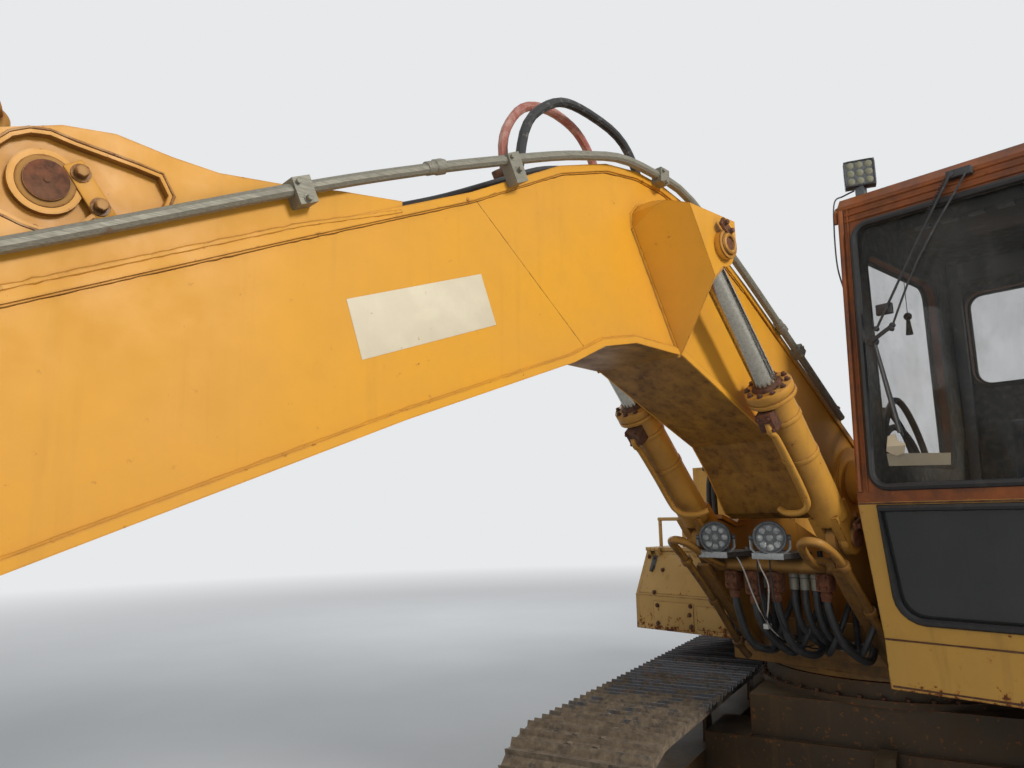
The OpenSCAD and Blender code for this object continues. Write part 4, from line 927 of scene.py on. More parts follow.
def cab_trim():
    """Ridges of the front posts, ribs of the roof's front band, rain gutters, seams, grab rails, the
    mirror and the door's handle."""
    paint, black, rusty = bmesh.new(), bmesh.new(), bmesh.new()
    ridges = ((0.473, 0.003, 0.0115, 8), (0.500, 0.001, 0.005, 6), (1.368, 0.003, 0.0115, 8))
    for y, out, r, sides in ridges:
        sweep(paint, [on_front(y, z, out) for z in (1.775, 2.2, 2.6, 2.93)], r, sides)
    for z in (2.878, 2.906, 2.934):
        sweep(paint, [on_front(y, z, 0.001) for y in (0.49, 0.7, 0.9, 1.1, 1.35)], 0.0058, 8, uneven=0.2)
    for y in (0.453, 1.387):
        gutter = [(0.10, 2.905), (0.16, 2.945), (0.6, 2.958), (1.12, 2.955), (1.205, 2.935),
                  (1.216, 2.88)]
        hose(paint, [(x, y, z) for x, z in gutter], 0.009, 8, 5)
    for z, r in ((SILL_Z, 0.0034), (1.730, 0.003)):
        weld(rusty, [on_front(0.462, z, 0.001), on_front(1.378, z, 0.001)], r, 0.03)
    sweep(rusty, [(1.139, y, 1.042) for y in (0.47, 0.7, 0.95, 1.2, 1.37)], 0.005, 6, uneven=0.4)
    for x, low, high in ((1.04, 1.42, 2.35), (1.12, 1.42, 1.62)):
        rail = [(1.379, low), (1.425, low), (1.43, low + 0.05), (1.43, high - 0.05), (1.425, high),
                (1.379, high)]
        hose(black, [(x, y, z) for y, z in rail], 0.0125, 10, 4)
        for z in (low, high):
            disc(black, (x, 1.379, z), (0, 1, 0), 0.024, 0.006, 24, edge=0.002)
    hose(black, [(1.16, 1.378, 2.34), (1.20, 1.44, 2.36), (1.21, 1.50, 2.40), (1.21, 1.50, 2.56)],
         0.008, 10, 5)
    slab(black, (1.180, 1.420, 2.42), (1.206, 1.580, 2.70), 0.012)
    for z in (1.93, 1.99):
        disc(black, (0.94, 1.381, z), (0, 1, 0), 0.013, 0.02, 20, edge=0.003)
    piece("cab_ribs_and_gutters", paint, cab_paint, "upper")
    piece("cab_seam_beads", rusty, bolt_rust, "upper")
    piece("cab_grab_rails", black, black_plastic, "upper")
    bm = bmesh.new()
    slab(bm, (1.1785, 1.430, 2.43), (1.1805, 1.570, 2.69), 0.001)
    piece("mirror_plate", bm, mirror_glass, "upper")
    bm = bmesh.new()
    slab(bm, (0.855, 1.3805, 1.62), (0.955, 1.386, 1.72), 0.006)
    slab(bm, (0.870, 1.384, 1.655), (0.940, 1.404, 1.685), 0.007)
    disc(bm, (0.940, 1.384, 1.640), (0, 1, 0), 0.010, 0.006, 20, edge=0.002)
    piece("cab_door_handle", bm, black_plastic, "cab_door")


def wipers():
    """Two arms from the head of the front pane, a spring, the blade and its pivot."""
    bm = bmesh.new()
    slab(bm, (1.205, 0.885, 2.920), (1.238, 0.972, 2.952), 0.005)
    disc(bm, on_front(0.901, 2.936, 0.012), (1, 0, 0), 0.012, 0.018, 20, edge=0.002)
    sweep(bm, [on_front(0.901, 2.936, 0.026), on_front(0.74, 2.66, 0.030),
               on_front(0.590, 2.400, 0.022)], 0.0050, 8)
    hose(bm, [on_front(0.954, 2.926, 0.026), on_front(0.768, 2.632, 0.040),
              on_front(0.646, 2.390, 0.024)], 0.0042, 8, 4)
    disc(bm, on_front(0.568, 2.355, -0.004), (1, 0, 0), 0.020, 0.022, 24, edge=0.004)
    sweep(bm, [on_front(0.568, 2.355, 0.022), on_front(0.651, 2.403, 0.022)], 0.0085, 8, flat=0.6)
    for y, z in ((0.590, 2.400), (0.646, 2.390), (0.651, 2.403)):
        disc(bm, on_front(y, z, 0.014), (1, 0, 0), 0.0095, 0.020, 16, edge=0.002)
    slab(bm, (1.231, 0.588, 2.455), (1.250, 0.650, 2.498), 0.004)
    sweep(bm, [on_front(0.578, 2.335, 0.020), on_front(0.610, 2.160, 0.022),
               on_front(0.640, 1.990, 0.016)], 0.0062, 8)
    lean = Matrix.Rotation(math.atan2(0.062, 0.345), 4, "X")
    turn = Matrix.Translation(on_front(0.6105, 2.160, 0.006)) @ lean
    slab(bm, (-0.010, -0.0035, -0.185), (0.006, 0.0035, 0.185), 0.001, turn)
    start, end = on_front(0.880, 2.930, 0.016), on_front(0.808, 2.806, 0.020)
    coil = []
    for k in range(105):
        a = k * math.pi / 3.5
        turn = Vector((math.cos(a), math.sin(a) * 0.86, math.sin(a) * -0.5))
        coil.append(start.lerp(end, k / 104) + turn * 0.0075)
    sweep(bm, coil, 0.0016, 5)
    piece("wiper_arms", bm, black_plastic, "upper")


def roof_lamp():
    """The square lamp on the roof's front corner: nine lenses in a black case, and its loose wire."""
    case, lens = bmesh.new(), bmesh.new()
    turn = Matrix.Translation((1.146, 0.539, 3.035)) @ Matrix.Rotation(math.radians(25), 4, "Z")
    slab(case, (-0.0235, -0.0605, -0.0015), (0.020, 0.0605, 0.1145), 0.008, turn)
    rim = [turn @ Vector((0.021, y, z)) for y, z in rounded_loop(-0.056, 0.003, 0.056, 0.110, 0.012, 3)]
    hoop(case, rim, 0.0045)
    for k in range(5):
        slab(case, (-0.032, -0.050 + k * 0.022, 0.008), (-0.022, -0.044 + k * 0.022, 0.105), 0.002, turn)
    face = turn.to_3x3() @ Vector((1, 0, 0))
    for y in (-0.035, 0.0, 0.035):
        for z in (0.0215, 0.0565, 0.0915):
            dome(lens, turn @ Vector((0.0205, y, z)), face, 0.0158, 0.42, 16)
    hose(case, [(1.120, 0.500, 3.040), (1.160, 0.470, 3.015), (1.208, 0.451, 2.980),
                (1.224, 0.446, 2.860), (1.234, 0.449, 2.700), (1.224, 0.462, 2.600)], 0.0034, 6)
    piece("roof_lamp_case", case, black_plastic, "upper")
    slab(lens, (0.0195, -0.0555, 0.0035), (0.0212, 0.0555, 0.1095), 0.0, turn)
    piece("roof_lamp_lenses", lens, dusty_lens, "upper")


def cab_fittings():
    """What shows through the panes: ceiling box, hanging tassel, levers with boots, pedals, dials and
    papers."""
    black, grey, cloth, pale = bmesh.new(), bmesh.new(), bmesh.new(), bmesh.new()
    slab(black, (0.70, 0.62, 2.845), (1.02, 1.08, 2.928), 0.018)
    for k in range(4):
        slab(grey, (0.985, 0.68 + k * 0.10, 2.838), (1.015, 0.74 + k * 0.10, 2.850), 0.003)
    slab(grey, (0.125, 0.56, 2.80), (0.16, 1.28, 2.90), 0.010)
    slab(grey, (0.121, 0.512, 1.10), (0.150, 0.565, 2.90), 0.008)
    for y in (0.60, 1.24):
        slab(black, (0.52, y - 0.056, 1.598), (0.745, y + 0.056, 1.622), 0.010)
        for k in range(5):
            disc(black, (0.70, y, 1.620 + k * 0.011), (0, 0, 1), 0.040 - k * 0.0045, 0.0085, 20,
                 edge=0.003)
        disc(black, (0.70, y, 1.72), (0, 0, 1), 0.019, 0.085, 20, edge=0.008, top=0.024)
        dome(black, (0.70, y, 1.800), (0, 0, 1), 0.025, 0.5, 20)
        for k in range(3):
            disc(grey, (0.585, y - 0.03 + k * 0.03, 1.620), (0, 0, 1), 0.009, 0.010, 14, edge=0.002)
    for y in (0.81, 1.03):
        slab(black, (0.905, y - 0.055, 1.100), (1.045, y + 0.055, 1.122), 0.006)
        for k in range(6):
            slab(black, (0.915 + k * 0.021, y - 0.050, 1.121), (0.924 + k * 0.021, y + 0.050, 1.127),
                 0.0015)
        dome(black, (0.90, y, 1.572), (0, 0, 1), 0.026, 0.8, 20)
    slab(black, (0.985, 1.13, 1.45), (1.115, 1.27, 1.93), 0.02)
    for z in (1.86, 1.76, 1.66):
        disc(grey, (0.984, 1.20, z), (-1, 0, 0), 0.036, 0.008, 28, edge=0.002)
    sweep(black, [(1.05, 0.633, 2.93), (1.05, 0.633, 2.48)], 0.0015, 5)
    dome(cloth, (1.05, 0.633, 2.475), (0, 0, 1), 0.016, 1.0, 16)
    disc(cloth, (1.05, 0.633, 2.40), (0, 0, 1), 0.014, 0.07, 16, top=0.006)
    prism(pale, [(0.575, 1.870), (0.790, 1.862), (0.795, 1.905), (0.570, 1.918)], 1.236, 1.2375,
          plane="yz")
    prism(pale, [(0.575, 1.925), (0.612, 1.905), (0.640, 1.915), (0.648, 1.948), (0.622, 1.962),
                 (0.613, 1.990), (0.586, 1.982)], 1.2495, 1.2503, plane="yz")
    piece("cab_levers_and_ceiling_box", black, black_plastic, "upper")
    piece("cab_dials_and_posts", grey, grey_plastic, "upper")
    piece("hanging_tassel", cloth, seat_cloth, "upper")
    piece("bare_papers_on_pane", pale, cream_patch, "upper")


GRAIN = 0.012
LAST_STEP = 20
MOST_SWELL = 0.022


def padded_part(name, low, high, lean=0.0):
    """A cushion that cloth under pressure swells from a block smaller than the space it fills."""
    bm = bmesh.new()
    low, high = Vector(low), Vector(high)
    pinch = Vector((0.016, 0.016, 0.016))
    slab(bm, low + pinch, high - pinch, 0.022, parts=3)
    middle = (low + high) / 2
    if lean:
        tilt = Matrix.Translation(middle) @ Matrix.Rotation(lean, 4, "Y") @ Matrix.Translation(-middle)
        bmesh.ops.transform(bm, matrix=tilt, verts=bm.verts)
    obj = piece(name, bm, seat_cloth, "upper", ["operator_seat"], angle=80)
    remesh = obj.modifiers.new("grain", "REMESH")
    remesh.mode = "VOXEL"
    remesh.voxel_size = GRAIN
    apply_all(obj)
    start = [v.co.copy() for v in obj.data.vertices]
    cloth = obj.modifiers.new("blow", "CLOTH")
    cloth.settings.use_pressure = True
    cloth.settings.uniform_pressure_force = 4.0
    cloth.settings.effector_weights.gravity = 0.0
    cloth.settings.quality = 5
    cloth.point_cache.frame_start = 1
    cloth.point_cache.frame_end = LAST_STEP
    for frame_number in range(1, LAST_STEP + 1):
        bpy.context.scene.frame_set(frame_number)
    shaped = obj.evaluated_get(bpy.context.evaluated_depsgraph_get())
    moved = [v.co.copy() for v in shaped.data.vertices]
    obj.modifiers.clear()
    for vert, was, now in zip(obj.data.vertices, start, moved):
        step = now - was
        vert.co = was + step * min(1.0, MOST_SWELL / max(step.length, 1e-6))
    bpy.context.scene.frame_set(1)
    smooth = obj.modifiers.new("even", "SUBSURF")
    smooth.levels = smooth.render_levels = 1
    apply_all(obj)
    for face in obj.data.polygons:
        face.use_smooth = True


def apply_all(obj):
    """Turns the modifiers' result into the object's own mesh."""
    shaped = obj.evaluated_get(bpy.context.evaluated_depsgraph_get())
    mesh = bpy.data.meshes.new_from_object(shaped)
    obj.modifiers.clear()
    obj.data = mesh


def driver_seat():
    """A sprung seat: bellows, slides, pan, and two padded cushions with piping."""
    padded_part("seat_cushion", (0.20, 0.67, 1.345), (0.70, 1.17, 1.460))
    padded_part("seat_back", (0.165, 0.69, 1.47), (0.265, 1.15, 2.14), lean=-0.10)
    base, trim = bmesh.new(), bmesh.new()
    slab(base, (0.28, 0.76, 1.092), (0.60, 1.08, 1.115), 0.006)
    for k in range(6):
        fold = (k % 2) * 0.012
        slab(base, (0.29 + fold, 0.77 + fold, 1.115 + k * 0.034),
             (0.59 - fold, 1.07 - fold, 1.149 + k * 0.034), 0.010)
    slab(base, (0.22, 0.69, 1.318), (0.66, 1.15, 1.350), 0.012)
    slab(base, (0.185, 0.75, 1.36), (0.215, 1.09, 2.02), 0.010)
    for y in (0.70, 1.14):
        sweep(base, route([(0.20, y, 1.62), (0.26, y, 1.65), (0.45, y, 1.645), (0.50, y, 1.64)], 5),
              0.020, 12, flat=1.3)
    hoop(trim, [(x, y, 1.404) for x, y in rounded_loop(0.196, 0.666, 0.704, 1.174, 0.05)], 0.005, 6)
    piece("seat_base_and_armrests", base, black_plastic, "upper", ["operator_seat"])
    piece("seat_piping", trim, seal_rubber, "upper", ["operator_seat"])


cab_seals()
cab_trim()
wipers()
roof_lamp()
cab_fittings()
driver_seat()


# Front of the upper body

def work_lamp_parts():
    """Round lamps with nine lenses, finned backs, yokes, pale plates and thin white wires."""
    body, lens, plate, wire = bmesh.new(), bmesh.new(), bmesh.new(), bmesh.new()
    axis = Vector((math.cos(math.radians(30)), math.sin(math.radians(30)), 0))
    across = Vector((-axis.y, axis.x, 0))
    for y in (-0.178, 0.084):
        middle = Vector((1.288, y, 1.600))
        rim = [middle + axis * 0.026 + across * a + Vector((0, 0, b)) for a, b in circle(0.063, 32)]
        hoop(body, rim, 0.0062)
        for a, b in [(0, 0)] + circle(0.040, 8):
            dome(lens, middle + axis * 0.0225 + across * a + Vector((0, 0, b)), axis, 0.0142, 0.45, 16)
        for k in range(5):
            disc(body, middle - axis * (0.030 + k * 0.008), axis, 0.0655 - k * 0.004, 0.0042, 32,
                 edge=0.001)
        disc(body, middle - axis * 0.070, axis, 0.040, 0.05, 24, edge=0.004)
        yoke = [(0.076, 0.01), (0.076, -0.045), (0.060, -0.062), (-0.060, -0.062), (-0.076, -0.045),
                (-0.076, 0.01)]
        sweep(plate, [middle + across * a + Vector((0, 0, b)) for a, b in yoke], 0.0075, 8, flat=0.45)
        for side in (-1, 1):
            disc(body, middle + across * side * 0.068, across * side, 0.011, 0.016, 18, edge=0.002)
        slab(plate, (1.086, y - 0.069, 1.5345), (1.319, y + 0.074, 1.5372), 0.0008)
        slab(plate, (1.3185, y - 0.069, 1.512), (1.3215, y + 0.074, 1.5372), 0.0008)
        hex_bolt(plate, (1.288, y, 1.536), (0, 0, 1), 0.010)
        for dy in (-0.045, 0.050):
            hex_bolt(plate, (1.120, y + dy, 1.537), (0, 0, 1), 0.009, turn=20)
    hose(wire, [(1.235, 0.050, 1.590), (1.215, 0.030, 1.560), (1.235, -0.005, 1.525),
                (1.262, 0.015, 1.480), (1.215, 0.02, 1.40), (1.16, -0.02, 1.30), (1.10, -0.06, 1.22),
                (0.98, -0.05, 1.14), (0.76, -0.04, 1.12)], 0.0032, 6)
    hose(wire, [(1.225, -0.215, 1.590), (1.205, -0.20, 1.56), (1.21, -0.13, 1.515), (1.20, -0.10, 1.45),
                (1.16, -0.09, 1.35), (1.08, -0.08, 1.22), (0.94, -0.07, 1.13), (0.76, -0.06, 1.11)],
         0.0032, 6)
    slab(wire, (1.09, -0.072, 1.200), (1.125, -0.048, 1.222), 0.003)
    piece("work_lamp_cases", body, lamp_grey, "upper")
    piece("work_lamp_lenses", lens, lens_glass, "upper")
    piece("work_lamp_plates", plate, galvanised, "upper")
    piece("work_lamp_wires", wire, wire_white, "upper")


def cheek_fittings():
    """Pin ends, keepers and beads on the plates that carry the boom and its cylinders, and the hose
    ends between them."""
    rusty, paint, beads, ends = bmesh.new(), bmesh.new(), bmesh.new(), bmesh.new()
    for x, z, y, r in ((1.150, 1.600, 0.392, 0.040), (0.700, 1.830, 0.370, 0.050)):
        disc(rusty, (x, y - 0.002, z), (0, 1, 0), r + 0.002, 0.007, 36, edge=0.003)
        turn = tilted((x - 0.01, y + 0.003, z + r + 0.012), 20)
        slab(rusty, (-0.045, -0.006, -0.016), (0.045, 0.006, 0.018), 0.003, turn)
        for dx in (-0.028, 0.028):
            hex_bolt(rusty, turn @ Vector((dx, 0.006, 0.0)), (0, 1, 0), 0.010, turn=15)
    disc(paint, (1.150, 0.340, 1.600), (0, 1, 0), 0.074, 0.010, 40, edge=0.003)
    disc(paint, (0.700, 0.356, 1.830), (0, 1, 0), 0.086, 0.006, 40, edge=0.002)
    weld(beads, [(0.85, 0.3415, 1.11), (1.09, 0.3515, 1.355), (1.19, 0.3515, 1.462)], 0.005, seed=1)
    weld(beads, [(-0.68, 0.3415, 1.034), (0.73, 0.3415, 1.034)], 0.006, 0.03, seed=2)
    weld(beads, [(0.755, 0.300, 1.034), (0.755, 0.300, 1.20)], 0.005, seed=3)
    for y, top in ((0.080, 0.060), (0.125, 0.110), (0.172, 0.160), (0.218, 0.206), (-0.120, -0.090)):
        nut(ends, (0.760, y, 1.110), (1, 0, 0), 0.0235, 0.014, 0.0015)
        nut(ends, (0.805, y, 1.110), (1, 0, 0), 0.0210, 0.030, 0.0015, 20)
        nut(ends, (1.070, top, 1.432), (0, 0, 1), 0.0245, 0.018, 0.0015)
        disc(ends, (1.070, top, 1.372), (0, 0, 1), 0.0205, 0.05, 20, edge=0.002)
    piece("cheek_pin_ends", rusty, pin_rust, "upper", mirrored=True)
    piece("cheek_collars", paint, frame_paint, "upper", mirrored=True)
    piece("cheek_weld_beads", beads, frame_paint, "upper", mirrored=True)
    piece("foot_hose_ends", ends, zinc_pipe, "upper")


def tool_box_fittings():
    """Straps, panels, seam, bolts and side ribs of the box beside the boom's foot."""
    black, paint, bolts = bmesh.new(), bmesh.new(), bmesh.new()
    up = Vector((-0.128, 0, 0.253)).normalized()
    out = Vector((0.253, 0, 0.128)).normalized()

    def slope(y, s):
        """A frame on the sloping front: s up the slope, Z square to it."""
        m = Matrix((Vector((0, 1, 0)), up, out)).transposed().to_4x4()
        return Matrix.Translation(Vector((0.540, y, 1.227)) + up * s) @ m

    for y, s in ((-1.172, 0.205), (-0.808, 0.232)):
        slab(black, (-0.017, -0.045, 0.0), (0.017, 0.045, 0.007), 0.003, slope(y, s))
        slab(black, (-0.010, -0.060, 0.006), (0.010, -0.020, 0.018), 0.004, slope(y, s))
        for d in (-0.026, 0.026):
            hex_bolt(black, slope(y, s) @ Vector((0, d, 0.007)), out, 0.006)
    slab(paint, (-0.33, 0.014, 0.0), (0.33, 0.262, 0.003), 0.0015, slope(-0.8975, 0.0))
    slab(paint, (0.540, -1.120, 1.046), (0.5435, -0.842, 1.200), 0.0016)
    slab(paint, (0.540, -0.822, 1.060), (0.5430, -0.580, 1.190), 0.0016)
    weld(paint, [(0.5395, -1.248, 1.2285), (0.5395, -0.548, 1.2285)], 0.0035, 0.03, seed=6)
    for y, z in ((-0.868, 1.137), (-1.09, 1.075), (-0.86, 1.075), (-1.09, 1.175), (-0.86, 1.185)):
        hex_bolt(bolts, (0.543, y, z), (1, 0, 0), 0.009, turn=y * 90)
    for y, s in ((-1.093, 0.16), (-1.115, 0.02), (-0.62, 0.02), (-0.62, 0.24), (-1.215, 0.24)):
        hex_bolt(bolts, slope(y, s) @ Vector((0, 0, 0.003)), out, 0.009, turn=s * 100)
    for x in (-0.02, 0.16, 0.34):
        slab(paint, (x, -1.2545, 1.06), (x + 0.10, -1.2495, 1.40), 0.002)
    piece("tool_box_straps", black, black_plastic, "upper")
    piece("tool_box_panels", paint, box_paint, "upper")
    piece("tool_box_bolts", bolts, bolt_rust, "upper")


def tank_fittings():
    """Panels, latch, small grille, hook, pipe, filler cap and tread bars of the tank."""
    paint, black, rusty = bmesh.new(), bmesh.new(), bmesh.new()
    slab(paint, (-0.120, -1.225, 1.52), (-0.1165, -0.570, 1.985), 0.0018)
    slab(paint, (-0.760, -1.2535, 1.10), (-0.160, -1.2495, 1.93), 0.002)
    slab(black, (-0.1165, -1.040, 1.775), (-0.108, -0.985, 1.850), 0.004)
    disc(rusty, (-0.109, -1.012, 1.815), (1, 0, 0), 0.013, 0.014, 20, edge=0.004)
    slab(black, (-0.1165, -0.984, 1.589), (-0.113, -0.780, 1.697), 0.002)
    for k in range(7):
        slab(black, (-0.114, -0.978, 1.597 + k * 0.0145), (-0.106, -0.786, 1.603 + k * 0.0145), 0.002)
    hose(black, [(-0.16, -1.15, 2.00), (-0.14, -1.15, 2.03), (-0.12, -1.15, 2.03), (-0.10, -1.15, 2.00),
                 (-0.10, -1.15, 1.975)], 0.008, 8, 5)
    sweep(rusty, [(-0.30, -1.15, 2.012), (-0.15, -1.15, 2.012)], 0.011, 10)
    disc(black, (-0.47, -0.80, 2.0), (0, 0, 1), 0.075, 0.018, 40, edge=0.004)
    disc(black, (-0.47, -0.80, 2.016), (0, 0, 1), 0.058, 0.030, 12, edge=0.004)
    for k in range(8):
        slab(paint, (-0.72 + k * 0.028, -0.86, 2.0), (-0.705 + k * 0.028, -0.60, 2.004), 0.0015)
    piece("tank_panels", paint, body_paint, "upper")
    piece("tank_latch_grille_cap", black, black_plastic, "upper")
    piece("tank_hook_pipe", rusty, pin_rust, "upper")


work_lamp_parts()
cheek_fittings()
tool_box_fittings()
tank_fittings()


# Front pipes and hoses by the cab

def front_pipes():
    """The pipe that bends down the cheek's front edge on each side, and hoses beside the boom's foot."""
    pipe, black = bmesh.new(), bmesh.new()
    hose(pipe, [(1.150, 0.235, 1.470), (1.250, 0.240, 1.500), (1.345, 0.255, 1.556),
                (1.392, 0.280, 1.584), (1.400, 0.320, 1.590), (1.372, 0.352, 1.576),
                (1.290, 0.366, 1.524), (1.185, 0.368, 1.433), (1.035, 0.368, 1.285),
                (0.921, 0.368, 1.154), (0.830, 0.366, 1.05), (0.795, 0.352, 1.01)], 0.0180, 14, 7)
    for x, y, z in ((1.235, 0.368, 1.478), (1.035, 0.368, 1.285), (0.850, 0.367, 1.072)):
        disc(pipe, (x, y, z), (0.66, 0.0, 0.75), 0.026, 0.03, 20, edge=0.003)
    piece("cheek_front_pipes", pipe, frame_paint, "upper", mirrored=True)
    hoses = ((0.386, 0.30), (0.412, 0.22), (0.437, 0.34), (-0.40, 0.26), (-0.43, 0.18))
    for k, (y, rise) in enumerate(hoses):
        bends = [(0.36 + 0.03 * k, 1.52), (0.40, 1.80), (0.56, 1.90 + rise * 0.5), (0.76, 1.84 + rise),
                 (0.92, 1.78 + rise * 0.6), (0.93, 1.60), (0.86, 1.40), (0.80, 1.10)]
        hose(black, [(x, y, z) for x, z in bends], 0.0145, 10)
    piece("boom_foot_side_hoses", black, hose_rubber, "upper")


def valve_blocks():
    """Rusty port blocks under the tube between the cheeks, with adapters and slack hoses."""
    iron, black = bmesh.new(), bmesh.new()
    for k, (y, low) in enumerate(((-0.205, 1.365), (-0.105, 1.345), (0.000, 1.360), (0.225, 1.375))):
        slab(iron, (1.082, y - 0.030, low), (1.150, y + 0.030, 1.448), 0.008)
        disc(iron, (1.116, y, low + 0.004), (0.05, 0.0, -1.0), 0.021, 0.045, 24, edge=0.004)
        nut(iron, (1.116, y, low - 0.018), (0, 0, 1), 0.027, 0.022)
        for dz in (0.018, 0.058):
            hex_bolt(iron, (1.150, y - 0.015, low + dz), (1, 0, 0), 0.0075, turn=k * 20)
            hex_bolt(iron, (1.150, y + 0.016, low + dz), (1, 0, 0), 0.0075, turn=k * 33)
        drop = 1.13 + 0.03 * (k % 2)
        hose(black, [(1.116, y, low - 0.025), (1.112, y + 0.01, low - 0.10), (1.06, y + 0.03, drop),
                     (0.96, y + 0.07, 1.085), (0.86, y + 0.06, 1.11), (0.80, y + 0.03, 1.20),
                     (0.765, y, 1.34)], 0.0165, 12)
    for k in range(4):
        y = -0.22 + k * 0.13
        hose(black, [(0.775, y, 1.52), (0.80, y + 0.02, 1.33), (0.86, y + 0.05, 1.16),
                     (0.97, y + 0.10, 1.10), (1.01, y + 0.17, 1.19), (0.93, y + 0.20, 1.33),
                     (0.80, y + 0.18, 1.44)], 0.0125, 10)
    piece("foot_valve_blocks", iron, pin_rust, "upper")
    piece("foot_slack_hoses", black, hose_rubber, "upper")


front_pipes()
valve_blocks()


# Undercarriage

TRACK_Y = 0.980
HALF_BASE = 1.600
WHEEL_Z = 0.430
SHOES = 46
SHOE_R = 0.410
CHAIN_R = 0.356
PARKED = Matrix.Rotation(math.radians(18), 4, "Z")


def loop_at(share, r):
    """A frame on the track's loop: X along it, Z outwards."""
    bend = math.pi * r
    s = (share % 1.0) * (4 * HALF_BASE + 2 * bend)
    if s < 2 * HALF_BASE:
        x, z, a = HALF_BASE - s, WHEEL_Z + r, math.pi
    elif s < 2 * HALF_BASE + bend:
        t = math.pi / 2 + (s - 2 * HALF_BASE) / r
        x, z, a = -HALF_BASE + r * math.cos(t), WHEEL_Z + r * math.sin(t), t + math.pi / 2
    elif s < 4 * HALF_BASE + bend:
        x, z, a = -HALF_BASE + s - 2 * HALF_BASE - bend, WHEEL_Z - r, 0.0
    else:
        t = -math.pi / 2 + (s - 4 * HALF_BASE - bend) / r
        x, z, a = HALF_BASE + r * math.cos(t), WHEEL_Z + r * math.sin(t), t + math.pi / 2
    return Matrix.Translation((x, 0, z)) @ Matrix.Rotation(-a, 4, "Y") @ Matrix.Rotation(math.pi, 4, "X")


def parked_piece(name, bm, finish):
    """A piece of the undercarriage, turned as the machine stands on it."""
    bmesh.ops.transform(bm, matrix=PARKED, verts=bm.verts)
    piece(name, bm, finish, "undercarriage")


def track_hardware():
    """Shoe bolts, chain links and their pins, all from one pitch of the loop."""
    bolts, links = bmesh.new(), bmesh.new()
    for y in (-TRACK_Y, TRACK_Y):
        for i in range(SHOES):
            on_shoe = loop_at((i + 0.5) / SHOES, SHOE_R)
            for dx in (-0.034, 0.034):
                for dy in (-0.058, 0.058):
                    here = on_shoe @ Matrix.Translation((dx, y + dy, 0.0045))
                    bmesh.ops.create_cone(bolts, cap_ends=True, segments=6, radius1=0.012,
                                          radius2=0.011, depth=0.011, matrix=here)
            on_chain = loop_at((i + 0.5) / SHOES, CHAIN_R)
            for side in (-1, 1):
                link = -y + side * 0.0845
                slab(links, (-0.084, link - 0.0045, -0.030), (0.084, link + 0.0045, 0.026), 0.0, on_chain)
                for dx in (-0.060, 0.060):
                    disc(links, on_chain @ Vector((dx, -y + side * 0.088, -0.004)), (0, -side, 0),
                         0.021, 0.007, 12)
    parked_piece("track_shoe_bolts", bolts, shoe_steel)
    parked_piece("track_chain_links", links, roller_steel)


def ring_of_bolts(bm, middle, axis, radius, count, size):
    """Bolt heads spaced evenly round a flange."""
    turn = stand(middle, axis)
    for a, b in circle(radius, count):
        spot = turn @ Vector((a, b, 0))
        bmesh.ops.create_cone(bm, cap_ends=True, segments=6, radius1=size, radius2=size, depth=size * 1.2,
                              matrix=stand(spot, axis) @ Matrix.Translation((0, 0, size * 0.6)))


